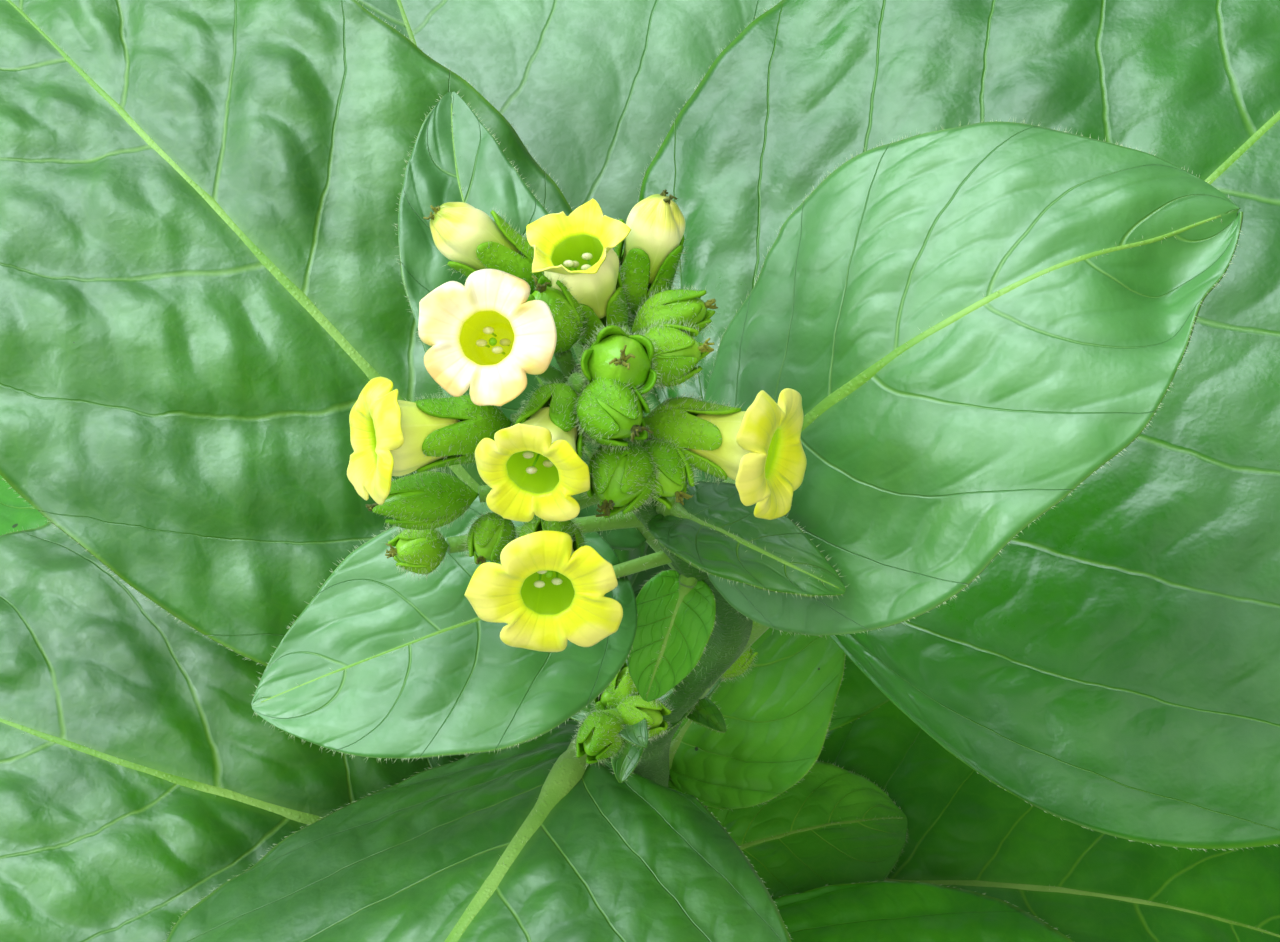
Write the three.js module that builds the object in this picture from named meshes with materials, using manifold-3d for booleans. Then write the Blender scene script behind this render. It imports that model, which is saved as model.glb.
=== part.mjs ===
// Flowering tobacco plant, whole above the ground, in millimetres with Z up.
// The foot of the stem is cut flat at Z = 0 and stands at the middle of the ground plane.
import * as THREE from 'three';
import { mergeVertices } from 'three/addons/utils/BufferGeometryUtils.js';
import Module from 'manifold-3d';

const wasm = await Module();
wasm.setup();

// Stem sizes
const STEM_TOP = 280;
const FOOT_RADIUS = 6.2;
const TOP_RADIUS = 2.3;
const FLARE = 3.2;
const FLARE_HEIGHT = 12;
const STEM_SIDES = 10;

// Clear space kept between neighbouring bodies
const GAP = 0.4;

// Share of a leaf's length taken by the thickness of its blade
const BLADE_THICKNESS_RATIO = 1 / 95;
const BLADE_THICKNESS_MIN = 0.9;

// Flower sizes
const FACE_RADIUS = 8.2;
const THROAT_RADIUS = 3.6;
const FLOWER_LENGTH = 18;
const CALYX_LENGTH = 9.5;
const FLOWER_SIDES = 20;
const POD_SIDES = 8;

const degree = Math.PI / 180;

const leafGreen = new THREE.MeshStandardMaterial({
  name: 'leaf_green', color: '#5c9a55', roughness: 0.5, metalness: 0,
});
const stemGreen = new THREE.MeshStandardMaterial({
  name: 'stem_green', color: '#7fa24e', roughness: 0.7, metalness: 0,
});
const calyxGreen = new THREE.MeshStandardMaterial({
  name: 'calyx_green', color: '#74a544', roughness: 0.7, metalness: 0,
});
const petalYellow = new THREE.MeshStandardMaterial({
  name: 'petal_yellow', color: '#e2e43c', roughness: 0.55, metalness: 0,
});
const petalCream = new THREE.MeshStandardMaterial({
  name: 'petal_cream', color: '#fbf0bf', roughness: 0.55, metalness: 0,
});

function clamp01(value) {
  return Math.min(1, Math.max(0, value));
}

// Centre line of the main stem: upright, with a bow to one side below the flower head
function axisAt(z) {
  const bow = 13 * Math.exp(-(((z - 214) / 32) ** 2));
  const lean = clamp01((z - 228) / 54);
  return new THREE.Vector3(bow - 7 * lean * lean, 5 * lean * lean, z);
}

function stemRadius(z) {
  const taper = FOOT_RADIUS + (TOP_RADIUS - FOOT_RADIUS) * (z / STEM_TOP) ** 1.2;
  return taper + FLARE * Math.exp(-z / FLARE_HEIGHT);
}

function directionOf(azimuth, elevation) {
  const a = azimuth * degree;
  const e = elevation * degree;
  return new THREE.Vector3(Math.cos(e) * Math.cos(a), Math.cos(e) * Math.sin(a), Math.sin(e));
}

// Closed body through rings that all have the same number of points
function bodyOfRings(rings) {
  const count = rings[0].length;
  const points = [];
  const triangles = [];
  for (const ring of rings) {
    for (const p of ring) {
      points.push(p.x, p.y, p.z);
    }
  }
  for (let r = 0; r + 1 < rings.length; r += 1) {
    for (let k = 0; k < count; k += 1) {
      const a = r * count + k;
      const b = r * count + ((k + 1) % count);
      triangles.push(a, b, b + count, a, b + count, a + count);
    }
  }
  const last = (rings.length - 1) * count;
  const first = rings[0].reduce((sum, p) => sum.add(p), new THREE.Vector3()).divideScalar(count);
  const end = rings.at(-1).reduce((sum, p) => sum.add(p), new THREE.Vector3()).divideScalar(count);
  const firstIndex = points.length / 3;
  points.push(first.x, first.y, first.z);
  points.push(end.x, end.y, end.z);
  for (let k = 0; k < count; k += 1) {
    const next = (k + 1) % count;
    triangles.push(firstIndex, next, k);
    triangles.push(firstIndex + 1, last + k, last + next);
  }
  const solid = new wasm.Manifold(new wasm.Mesh({
    numProp: 3,
    vertProperties: Float32Array.from(points),
    triVerts: Uint32Array.from(triangles),
  }));
  return solid;
}

// Frames carried along a list of points without twisting
function framesAlong(path, side) {
  const frames = [];
  let across = side.clone();
  for (let i = 0; i < path.length; i += 1) {
    const before = path[Math.max(0, i - 1)];
    const after = path[Math.min(path.length - 1, i + 1)];
    const along = after.clone().sub(before).normalize();
    across = across.clone().addScaledVector(along, -across.dot(along)).normalize();
    frames.push({ centre: path[i], along, across, over: along.clone().cross(across) });
  }
  return frames;
}

function ringAround(frame, sides, radiusOf) {
  const ring = [];
  for (let k = 0; k < sides; k += 1) {
    const angle = (2 * Math.PI * k) / sides;
    const radius = radiusOf(angle);
    const point = frame.centre.clone();
    point.addScaledVector(frame.across, radius * Math.cos(angle));
    point.addScaledVector(frame.over, radius * Math.sin(angle));
    ring.push(point);
  }
  return ring;
}

// Round limb along a path, with one radius for each point of it
function limb(path, radii, sides) {
  const frames = framesAlong(path, new THREE.Vector3(1, 0.2, 0.1));
  const rings = frames.map((frame, i) => ringAround(frame, sides, () => radii[i]));
  return bodyOfRings(rings);
}

function stemHeights() {
  const heights = [0, 4, 11, 28, 60];
  for (let z = 100; z < STEM_TOP; z += 20) {
    heights.push(z);
  }
  heights.push(STEM_TOP);
  return heights;
}

// Main stem, level rings so that the foot is cut flat on the ground
function mainStem(extra) {
  const rings = stemHeights().map((z) => {
    const frame = {
      centre: axisAt(z),
      across: new THREE.Vector3(1, 0, 0),
      over: new THREE.Vector3(0, 1, 0),
    };
    const lift = extra > 0 && z === STEM_TOP ? extra : 0;
    const drop = extra > 0 && z === 0 ? extra : 0;
    frame.centre.z += lift - drop;
    return ringAround(frame, STEM_SIDES, () => stemRadius(z) + extra);
  });
  return bodyOfRings(rings);
}

// Course of a leaf's middle rib: it rises from the stem, bends over and droops
function leafCourse(leaf) {
  const steps = 60;
  const total = leaf.stalk + leaf.length;
  const bend = leaf.bend ?? 1;
  const course = [];
  const place = axisAt(leaf.z);
  for (let i = 0; i <= steps; i += 1) {
    const s = i / steps;
    const pitch = (leaf.rise + (leaf.droop - leaf.rise) * s ** bend) * degree;
    const hook = clamp01(1 - (s * total) / leaf.stalk);
    const turn = (leaf.turn + (leaf.sweep ?? 0) * s + (leaf.bow ?? 0) * hook) * degree;
    const along = new THREE.Vector3(
      Math.cos(pitch) * Math.cos(turn),
      Math.cos(pitch) * Math.sin(turn),
      Math.sin(pitch),
    );
    const left = new THREE.Vector3(-Math.sin(turn), Math.cos(turn), 0);
    if (i > 0) {
      const step = total / steps / 2;
      place.addScaledVector(course[i - 1].along, step);
      place.addScaledVector(along, step);
    }
    course.push({ place: place.clone(), along, left, up: along.clone().cross(left) });
  }
  return course;
}

function onCourse(course, share) {
  const at = clamp01(share) * (course.length - 1);
  const i = Math.min(course.length - 2, Math.floor(at));
  const f = at - i;
  const from = course[i];
  const to = course[i + 1];
  return {
    place: from.place.clone().lerp(to.place, f),
    left: from.left.clone().lerp(to.left, f).normalize(),
    up: from.up.clone().lerp(to.up, f).normalize(),
  };
}

// Half the width of the blade at a share of its length, on its right side or its left side
function halfWidth(leaf, t, v) {
  const a = (v < 0 ? leaf.foreRight : undefined) ?? leaf.fore ?? 0.5;
  const b = leaf.aft ?? 0.85;
  const peak = a / (a + b);
  const shape = (t ** a * (1 - t) ** b) / (peak ** a * (1 - peak) ** b);
  return (leaf.width / 2) * shape;
}

// One point of the blade's middle surface, t from base to tip and v from right edge to left edge
function bladePoint(leaf, course, t, v, shift, extraWidth) {
  const total = leaf.stalk + leaf.length;
  const back = (leaf.lobe ?? 0.06) * Math.abs(v) ** 1.5 * (1 - t) ** 5;
  const along = leaf.stalk + leaf.length * (t - back);
  const frame = onCourse(course, along / total);
  const roll = (leaf.roll ?? 0) * degree;
  const fold = (leaf.fold ?? 8) * degree;
  const left = frame.left.clone().multiplyScalar(Math.cos(roll));
  left.addScaledVector(frame.up, Math.sin(roll));
  const up = frame.up.clone().multiplyScalar(Math.cos(roll));
  up.addScaledVector(frame.left, -Math.sin(roll));
  const sideShare = v > 0 ? (leaf.left ?? 1) : (leaf.right ?? 1);
  const half = halfWidth(leaf, t, v) * sideShare + extraWidth;
  const q = v * half;
  const phase = (leaf.waves ?? 2) * t + (leaf.phase ?? 0) + (v < 0 ? 0.25 : 0);
  let lift = Math.abs(q) * Math.sin(fold) - (leaf.curl ?? 0) * v * v * half;
  lift += (leaf.wave ?? 0) * v * v * Math.sin(2 * Math.PI * phase) * Math.sin(Math.PI * t);
  const point = frame.place.clone();
  point.addScaledVector(left, q * Math.cos(fold));
  point.addScaledVector(up, lift + shift);
  return point;
}

// Leaf as one body: a round stalk that opens into a thin blade with a rib below its middle
function leafBody(leaf) {
  const course = leafCourse(leaf);
  const total = leaf.stalk + leaf.length;
  const thick = Math.max(BLADE_THICKNESS_MIN, total * BLADE_THICKNESS_RATIO);
  const stalkRadius = 0.9 + total / 100;
  const cells = total > 120 ? 6 : 4;
  const stations = total > 160 ? 10 : total > 90 ? 8 : 6;
  const rings = [];
  const across = [];
  for (let j = 0; j <= cells; j += 1) {
    across.push((2 * j) / cells - 1);
  }
  const ringOf = (pointAt, heightAt) => {
    const top = across.map((v) => pointAt(v, heightAt(v, 1)));
    const below = across.map((v) => pointAt(v, -heightAt(v, -1))).reverse();
    rings.push([...below, ...top].reverse());
  };
  for (const share of [0, 0.6]) {
    const frame = onCourse(course, (share * leaf.stalk) / total);
    const round = (v) => stalkRadius * (0.45 + 0.55 * Math.sqrt(1 - v * v));
    ringOf((v, lift) => {
      const point = frame.place.clone();
      point.addScaledVector(frame.left, v * stalkRadius);
      return point.addScaledVector(frame.up, lift);
    }, round);
  }
  for (let i = 0; i <= stations; i += 1) {
    const t = (1 - Math.cos((Math.PI * (i + 0.35)) / (stations + 0.55))) / 2;
    const rib = (stalkRadius - thick / 2) * (1 - t);
    const spread = stalkRadius * 0.6 * (1 - t) + 0.3;
    const height = (v, side) => thick / 2 + (v === 0 && side < 0 ? rib : 0);
    ringOf((v, lift) => bladePoint(leaf, course, t, v, lift, spread), height);
  }
  return bodyOfRings(rings);
}

// Path of a flower stalk from the stem to the base of a flower
function stalkPath(fromZ, base, direction, count) {
  const start = axisAt(fromZ);
  const pull = base.clone().addScaledVector(direction, -4);
  const rise = start.clone().lerp(pull, 0.5).add(new THREE.Vector3(0, 0, 1.5));
  const curve = new THREE.CubicBezierCurve3(start, rise, pull, base);
  return curve.getPoints(count);
}

// Body turned around a stalk and a straight axis, from a list of height, radius and lobe share
function turnedBody(spec, profile, sides, extra) {
  const direction = directionOf(spec.turn, spec.tilt);
  const base = new THREE.Vector3(...spec.face).addScaledVector(direction, -spec.length);
  const path = stalkPath(spec.from, base, direction, 3).slice(0, -1);
  const stalkFrames = framesAlong([...path, base], new THREE.Vector3(0.3, 1, 0.2));
  const rings = [];
  for (let i = 0; i < path.length; i += 1) {
    rings.push(ringAround(stalkFrames[i], sides, () => 1.1 + extra));
  }
  const across = stalkFrames.at(-1).across.clone();
  across.addScaledVector(direction, -across.dot(direction)).normalize();
  const over = direction.clone().cross(across);
  for (const [height, radius, lobe] of profile) {
    const centre = base.clone().addScaledVector(direction, height);
    const notch = lobe ?? 0;
    rings.push(ringAround({ centre, across, over }, sides, (angle) => {
      const round = Math.abs(Math.cos(2.5 * angle)) ** 0.6;
      return radius * (1 - notch + notch * round) + extra;
    }));
  }
  return bodyOfRings(rings);
}

// Open flower: green calyx, tube that widens upward, flat face of five lobes, open throat
function openFlower(spec, extra) {
  const k = spec.length / FLOWER_LENGTH;
  const face = spec.radius ?? FACE_RADIUS;
  const profile = [
    [0, 1.6], [1.6 * k, 3.2], [4.4 * k, 3.8], [CALYX_LENGTH * k, 3.4], [CALYX_LENGTH * k + 0.6, 2.8],
    [15.4 * k, 4.2], [17 * k, face, 0.24], [FLOWER_LENGTH * k, face, 0.24],
  ];
  if (extra === 0) {
    profile.push([17 * k, THROAT_RADIUS], [12 * k, 2.3]);
  }
  return turnedBody(spec, profile, FLOWER_SIDES, extra);
}

// Flower that has not opened: calyx, tube and folded tip
function closedFlower(spec, extra) {
  const k = spec.length / FLOWER_LENGTH;
  const profile = [
    [0, 1.6], [1.6 * k, 3.2], [4.4 * k, 3.9], [CALYX_LENGTH * k, 3.5], [CALYX_LENGTH * k + 0.6, 3],
    [13.4 * k, 3.8], [16.2 * k, 2.9], [FLOWER_LENGTH * k, 0.9],
  ];
  return turnedBody(spec, profile, FLOWER_SIDES / 2, extra);
}

// Seed pod held in its calyx
function pod(spec, extra) {
  const size = spec.size ?? 1;
  const length = spec.length;
  const profile = [
    [0, 1.4], [0.14 * length, 2.8 * size], [0.4 * length, 3.9 * size], [0.66 * length, 3.7 * size],
    [0.88 * length, 2.5 * size], [length, 0.8 * size],
  ];
  return turnedBody(spec, profile, POD_SIDES, extra);
}

// Leaves, from the ones at the top down to the ones at the foot.
// Each one has the height of its joint, its stalk, blade length and width, the slope at base and tip,
// and the compass direction it grows in, measured from X toward Y.
const leaves = {
  leaf_crown_right: {
    z: 240, stalk: 11, length: 81, width: 55, rise: 66, droop: -12, bend: 1.15,
    turn: 27, sweep: -9, bow: -8, roll: -4, fold: 2, left: 0.97, right: 1.06, lobe: 0.12,
    fore: 0.8, foreRight: 0.45, aft: 0.78, curl: 0.1,
  },
  leaf_crown_left: {
    z: 238, stalk: 14, length: 51, width: 28, rise: 24, droop: -27, turn: 207, sweep: -13, fold: 4,
    left: 1.28, right: 1.15,
  },
  leaf_crown_back: {
    z: 218, stalk: 22, length: 69, width: 25, rise: 51, droop: -7, turn: 157, sweep: -67, fold: 14,
  },
  leaf_crown_small: {
    z: 252, stalk: 5, length: 28, width: 11, rise: 54, droop: -18, turn: -51, sweep: 30, fold: 6,
  },
  leaf_crown_front: {
    z: 236, stalk: 4, length: 18, width: 10, rise: 0, droop: -52, turn: -112, fold: 8,
  },
  leaf_high_front: {
    z: 126, stalk: 10, length: 52, width: 42, rise: 56, droop: 20, turn: 48, sweep: 0, fold: 4,
  },
  leaf_back_left: {
    z: 174, stalk: 28, length: 176, width: 101, rise: 51, droop: -25, bend: 0.7,
    turn: 138, sweep: -10, fold: 6, right: 0.84, curl: 0.1, wave: 2,
  },
  leaf_right: {
    z: 188, stalk: 26, length: 215, width: 160, rise: 32, droop: -24,
    turn: 37, sweep: 13, roll: -4, fold: 4, left: 0.91, right: 1.08, lobe: 0.02, fore: 0.36, aft: 0.92,
    curl: 0.1, wave: 2,
  },
  leaf_back: {
    z: 146, stalk: 34, length: 190, width: 140, rise: 44, droop: -36,
    turn: 110, sweep: -4, fold: 8, right: 0.95, curl: 0.1, wave: 2,
  },
  leaf_left: {
    z: 108, stalk: 36, length: 140, width: 112, rise: 43, droop: -30,
    turn: 180, sweep: -31, bow: 67, fold: 8, curl: 0.1, wave: 2,
  },
  leaf_front: {
    z: 153, stalk: 14, length: 115, width: 118, rise: 32, droop: 0, bend: 0.8,
    turn: -116, sweep: -8, bow: -98, roll: 20, fold: -2, right: 0.78, fore: 0.75, curl: 0.1,
  },
  leaf_low_right: {
    z: 52, stalk: 36, length: 140, width: 96, rise: 20, droop: -40, turn: 7, sweep: -22, fold: 6,
    curl: 0.1, wave: 2,
  },
  leaf_low_front: {
    z: 84, stalk: 24, length: 120, width: 98, rise: 12, droop: -38, turn: -60, sweep: -13, fold: 6,
    left: 1.4, curl: 0.1,
  },
  leaf_low_small: {
    z: 68, stalk: 18, length: 42, width: 36, rise: 40, droop: -40, turn: 18, sweep: -5, fold: 6,
    left: 0.75,
  },
  leaf_low_left: {
    z: 96, stalk: 30, length: 130, width: 88, rise: 30, droop: -34, turn: -146, sweep: 8, fold: 6,
    curl: 0.1, wave: 2,
  },
  leaf_low_back: {
    z: 92, stalk: 34, length: 150, width: 100, rise: 36, droop: -34, turn: 70, sweep: 6, fold: 6,
    curl: 0.1, wave: 2,
  },
  leaf_low_back_left: {
    z: 72, stalk: 32, length: 140, width: 92, rise: 34, droop: -34, turn: 150, sweep: -6, fold: 6,
    curl: 0.1,
  },
  leaf_foot_front: {
    z: 46, stalk: 26, length: 112, width: 78, rise: 28, droop: -26, turn: -96, sweep: 6, fold: 6,
    curl: 0.1,
  },
  leaf_foot_right: {
    z: 28, stalk: 28, length: 118, width: 80, rise: 24, droop: -30, turn: 34, sweep: 6, fold: 6,
    curl: 0.1,
  },
  leaf_foot_back: {
    z: 30, stalk: 26, length: 110, width: 76, rise: 28, droop: -22, turn: 108, sweep: -6, fold: 6,
    curl: 0.1,
  },
  leaf_foot_left: {
    z: 40, stalk: 26, length: 116, width: 78, rise: 26, droop: -24, turn: -168, sweep: -4, fold: 6,
    curl: 0.1,
  },
};

// Open and closed flowers: middle of the face, direction it looks in, height its stalk leaves the stem
const flowers = {
  flower_cream: { face: [-18, 2, 296], turn: -105, tilt: 67, from: 274, length: 18 },
  flower_middle: { face: [-13, -13, 288], turn: -106, tilt: 25, from: 270, length: 18, radius: 7 },
  flower_front: { face: [-11, -23, 276], turn: -90, tilt: 35, from: 256, length: 18, radius: 8.8 },
  flower_top: { face: [-8, 18, 290], turn: 131, tilt: 72, from: 270, length: 18, radius: 6.6 },
  flower_left: { face: [-34, -4, 280], turn: -168, tilt: 7, from: 266, length: 19, radius: 7.4 },
  flower_right: { face: [18, -5, 278], turn: -19, tilt: 7, from: 266, length: 19, radius: 7.6 },
};
const closedFlowers = {
  flower_bud_left: { face: [-25, 24, 287], turn: 156, tilt: 35, from: 272, length: 18 },
  flower_bud_right: { face: [3, 26, 287], turn: 64, tilt: 54, from: 270, length: 17 },
};

// Seed pods, given the same way, with the tip in place of the face
const pods = {
  pod_top: { face: [-2, 0, 294], turn: -73, tilt: 70, from: 276, length: 10 },
  pod_front_upper: { face: [0, -7, 289], turn: -48, tilt: 15, from: 272, length: 10 },
  pod_front_lower: { face: [-4, -13, 281], turn: -109, tilt: 15, from: 264, length: 10.5 },
  pod_right_front: { face: [5, -10, 277], turn: -60, tilt: 7, from: 262, length: 9.5, size: 0.85 },
  pod_right: { face: [8, 5, 287], turn: -5, tilt: 24, from: 272, length: 10, size: 0.9 },
  pod_right_back: { face: [9, 13, 284], turn: 12, tilt: 19, from: 268, length: 11, size: 0.8 },
  pod_left: { face: [-34, -6, 266], turn: -172, tilt: 3, from: 258, length: 14, size: 0.85 },
  pod_left_small: { face: [-20, -12, 262], turn: -110, tilt: 10, from: 252, length: 8, size: 0.7 },
  pod_left_low: { face: [-32, -8, 256], turn: -164, tilt: 19, from: 248, length: 8, size: 0.75 },
  pod_back: { face: [-12, 13, 289], turn: 120, tilt: 63, from: 272, length: 11, size: 0.9 },
};

// Young side shoots: a short limb from the stem with a few round buds along it
const shoots = {
  shoot_front: { z: 172, reach: 26, turn: -120, tilt: 62, buds: 4, size: 3.2 },
  shoot_back: { z: 154, reach: 26, turn: 20, tilt: 66, buds: 3, size: 3 },
  shoot_left: { z: 109, reach: 34, turn: 176, tilt: 62, buds: 3, size: 3.4 },
  shoot_low: { z: 62, reach: 26, turn: 56, tilt: 60, buds: 3, size: 3 },
};

function shootBody(spec, extra) {
  const direction = directionOf(spec.turn, spec.tilt);
  const start = axisAt(spec.z);
  const path = [];
  const radii = [];
  for (let i = 0; i <= 3; i += 1) {
    const along = (spec.reach * i) / 3;
    const point = start.clone().addScaledVector(direction, along);
    point.z += (along * along) / (5 * spec.reach);
    path.push(point);
    radii.push(1.9 - 0.2 * i + extra);
  }
  let body = limb(path, radii, 6);
  for (let b = 0; b < spec.buds; b += 1) {
    const side = directionOf(spec.turn + 100 * b, 20 + 15 * b);
    const at = path[3].clone().addScaledVector(direction, -3 * b);
    const tip = at.clone().addScaledVector(side, spec.size * 2.6);
    const stops = [0, 0.3, 0.65, 1].map((share) => at.clone().lerp(tip, share));
    const plump = [0.5, 1, 0.95, 0.3].map((share) => share * spec.size + extra);
    body = body.add(limb(stops, plump, 6));
  }
  return body;
}

function largestPiece(solid) {
  const pieces = solid.decompose();
  return pieces.reduce((best, piece) => (piece.volume() > best.volume() ? piece : best));
}

function meshFrom(name, solid, material) {
  const raw = solid.getMesh();
  const geometry = new THREE.BufferGeometry();
  const points = new Float32Array(raw.numVert * 3);
  for (let i = 0; i < raw.numVert; i += 1) {
    for (let k = 0; k < 3; k += 1) {
      points[3 * i + k] = raw.vertProperties[raw.numProp * i + k];
    }
  }
  geometry.setAttribute('position', new THREE.BufferAttribute(points, 3));
  geometry.setIndex(new THREE.BufferAttribute(Uint32Array.from(raw.triVerts), 1));
  const closed = mergeVertices(geometry, 1e-4);
  closed.computeVertexNormals();
  const mesh = new THREE.Mesh(closed, material);
  mesh.name = name;
  return mesh;
}

const plant = new THREE.Group();
plant.name = 'tobacco_plant';

// Bodies already placed, each a little larger than itself, that later ones are cut clear of
const keepClear = [mainStem(GAP)];

function place(name, body, larger, material) {
  let solid = body;
  const box = solid.boundingBox();
  for (const other of keepClear) {
    const near = other.boundingBox();
    const apart = [0, 1, 2].some((k) => near.min[k] > box.max[k] || near.max[k] < box.min[k]);
    if (!apart) {
      solid = solid.subtract(other);
    }
  }
  plant.add(meshFrom(name, largestPiece(solid), material));
  if (larger) {
    keepClear.push(larger);
  }
}

plant.add(meshFrom('main_stem', mainStem(0), stemGreen));
for (const [name, spec] of Object.entries(flowers)) {
  const petal = name === 'flower_cream' ? petalCream : petalYellow;
  place(name, openFlower(spec, 0), openFlower(spec, GAP), petal);
}
for (const [name, spec] of Object.entries(closedFlowers)) {
  place(name, closedFlower(spec, 0), closedFlower(spec, GAP), petalCream);
}
for (const [name, spec] of Object.entries(pods)) {
  place(name, pod(spec, 0), pod(spec, GAP), calyxGreen);
}
for (const [name, spec] of Object.entries(shoots)) {
  place(name, shootBody(spec, 0), shootBody(spec, GAP), stemGreen);
}
for (const [name, leaf] of Object.entries(leaves)) {
  place(name, leafBody(leaf), null, leafGreen);
}

export default plant;
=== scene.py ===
import math

import bpy
import numpy as np
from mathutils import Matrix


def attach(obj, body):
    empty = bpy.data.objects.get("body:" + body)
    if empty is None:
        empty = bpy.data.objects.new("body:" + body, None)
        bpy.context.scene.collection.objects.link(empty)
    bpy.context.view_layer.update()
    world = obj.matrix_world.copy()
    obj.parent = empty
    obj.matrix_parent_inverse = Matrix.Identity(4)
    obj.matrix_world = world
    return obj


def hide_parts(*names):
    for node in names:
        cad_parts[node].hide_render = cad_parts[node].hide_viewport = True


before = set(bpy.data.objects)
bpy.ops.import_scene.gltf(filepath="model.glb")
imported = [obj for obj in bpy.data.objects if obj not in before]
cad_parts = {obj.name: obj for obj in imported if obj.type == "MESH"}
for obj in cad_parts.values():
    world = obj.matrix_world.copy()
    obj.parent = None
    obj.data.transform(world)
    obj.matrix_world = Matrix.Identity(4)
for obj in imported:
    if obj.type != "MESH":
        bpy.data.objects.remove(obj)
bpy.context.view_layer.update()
mm = 0.001

# Camera: looks down at the flower head, as the photograph does
cameraSetup = {"place": (0, -0.135, 0.553), "tilt": 25, "lens": 70.9, "near": 0.01}
bpy.ops.object.camera_add(location=cameraSetup["place"], rotation=(math.radians(cameraSetup["tilt"]), 0, 0))
camera = bpy.context.object
camera.data.lens = cameraSetup["lens"]
camera.data.clip_start = cameraSetup["near"]
bpy.context.scene.camera = camera
bpy.context.scene.view_settings.view_transform = "Standard"
print("camera placed")


def clearSelection():
    if bpy.context.object and bpy.context.object.mode != "OBJECT":
        bpy.ops.object.mode_set(mode="OBJECT")
    bpy.ops.object.select_all(action="DESELECT")


def selectOnly(piece):
    clearSelection()
    piece.select_set(True)
    bpy.context.view_layer.objects.active = piece


def gridPiece(name, across, along):
    clearSelection()
    bpy.ops.mesh.primitive_grid_add(x_subdivisions=across, y_subdivisions=along, size=2)
    piece = bpy.context.object
    piece.name = piece.data.name = name
    return piece


def gridPlaces(piece):
    places = np.zeros(len(piece.data.vertices) * 3)
    piece.data.vertices.foreach_get("co", places)
    return places.reshape(-1, 3)


def layVertices(piece, places):
    piece.data.vertices.foreach_set("co", (places * mm).ravel())
    piece.data.update()


def mergeAndFace(piece, faceOut=True, gap=0.00001):
    selectOnly(piece)
    bpy.ops.object.mode_set(mode="EDIT")
    bpy.ops.mesh.select_all(action="SELECT")
    bpy.ops.mesh.remove_doubles(threshold=gap)
    if faceOut:
        bpy.ops.mesh.normals_make_consistent(inside=False)
    bpy.ops.object.mode_set(mode="OBJECT")


def thicken(piece, wall, backSlot=0):
    selectOnly(piece)
    solid = piece.modifiers.new("wall", "SOLIDIFY")
    solid.thickness = wall * mm
    solid.offset = -1
    solid.material_offset = backSlot
    solid.material_offset_rim = 0
    bpy.ops.object.modifier_apply(modifier=solid.name)


def joinInto(piece, others):
    selectOnly(piece)
    for other in others:
        other.select_set(True)
    bpy.ops.object.join()
    return piece


def setMaterials(piece, *materials):
    for material in materials:
        piece.data.materials.append(material)


def handOver(piece, nodes):
    selectOnly(piece)
    bpy.ops.object.shade_smooth()
    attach(piece, "root")
    if nodes:
        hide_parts(*nodes)


def plainName(node, ending=""):
    first, *rest = node.split("_")
    return first + "".join(word.capitalize() for word in rest) + ending


# Lays a map of two numbers for each corner of the faces
def layMap(piece, name, first, second):
    found = piece.data.uv_layers.get(name) or piece.data.uv_layers.new(name=name)
    found.data.foreach_set("uv", np.stack([first, second], -1).ravel())


def faceCorners(piece):
    corner = np.zeros(len(piece.data.loops), int)
    piece.data.loops.foreach_get("vertex_index", corner)
    return corner


def lerp(first, second, share):
    return first + (second - first) * share


def smoothStep(low, high, value):
    share = np.clip((value - low) / (high - low), 0, 1)
    return share * share * (3 - 2 * share)


def bell(value):
    return np.exp(-(value**2))


def unit(vectors):
    return vectors / np.linalg.norm(vectors, axis=-1, keepdims=True)


def directionOf(azimuth, elevation):
    a, e = math.radians(azimuth), math.radians(elevation)
    return np.array([math.cos(e) * math.cos(a), math.cos(e) * math.sin(a), math.sin(e)])


# Smooth curve through a few points, read at shares of its length from 0 to 1
def curveThrough(points, share):
    stops = np.array(points, float)
    stops = np.vstack([2 * stops[0] - stops[1], stops, 2 * stops[-1] - stops[-2]])
    at = np.clip(np.asarray(share, float), 0, 1) * (len(points) - 1)
    i = np.minimum(at.astype(int), len(points) - 2)
    f = (at - i)[..., None]
    a, b, c, d = stops[i], stops[i + 1], stops[i + 2], stops[i + 3]
    return 0.5 * (2 * b + (c - a) * f + (2 * a - 5 * b + 4 * c - d) * f**2 + (3 * b - a - 3 * c + d) * f**3)


def framesAlong(path, side):
    alongs = unit(np.vstack([path[1] - path[0], path[2:] - path[:-2], path[-1] - path[-2]]))
    acrosses = []
    across = np.array(side, float)
    for along in alongs:
        across = across - along * across.dot(along)
        across = across / np.linalg.norm(across)
        acrosses.append(across)
    acrosses = np.array(acrosses)
    return alongs, acrosses, np.cross(alongs, acrosses)


# Closed tube along a path, with a radius for each point of it
def tubePiece(name, path, radii, sides, side=(1, 0.2, 0.1), shape=None):
    rings = len(path)
    piece = gridPiece(name, sides, rings + 1)
    grid = gridPlaces(piece)
    angle = (grid[:, 0] + 1) * math.pi
    row = np.rint((grid[:, 1] + 1) / 2 * (rings + 1)).astype(int)
    ring = np.clip(row - 1, 0, rings - 1)
    alongs, acrosses, overs = framesAlong(path, side)
    radius = np.array(radii, float)[ring] * ((row > 0) & (row < rings + 1))
    if shape:
        radius = radius * shape(angle, ring / (rings - 1))
    places = path[ring] + acrosses[ring] * (radius * np.cos(angle))[:, None]
    places += overs[ring] * (radius * np.sin(angle))[:, None]
    layVertices(piece, places)
    mergeAndFace(piece)
    return piece


# The node tree that the next nodes go into
bench = {}


def put(kind, settings=None, values=None):
    made = bench["tree"].nodes.new(kind)
    for key, value in (settings or {}).items():
        setattr(made, key, value)
    for key, value in (values or {}).items():
        wire(value, made.inputs[key])
    return made


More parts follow.
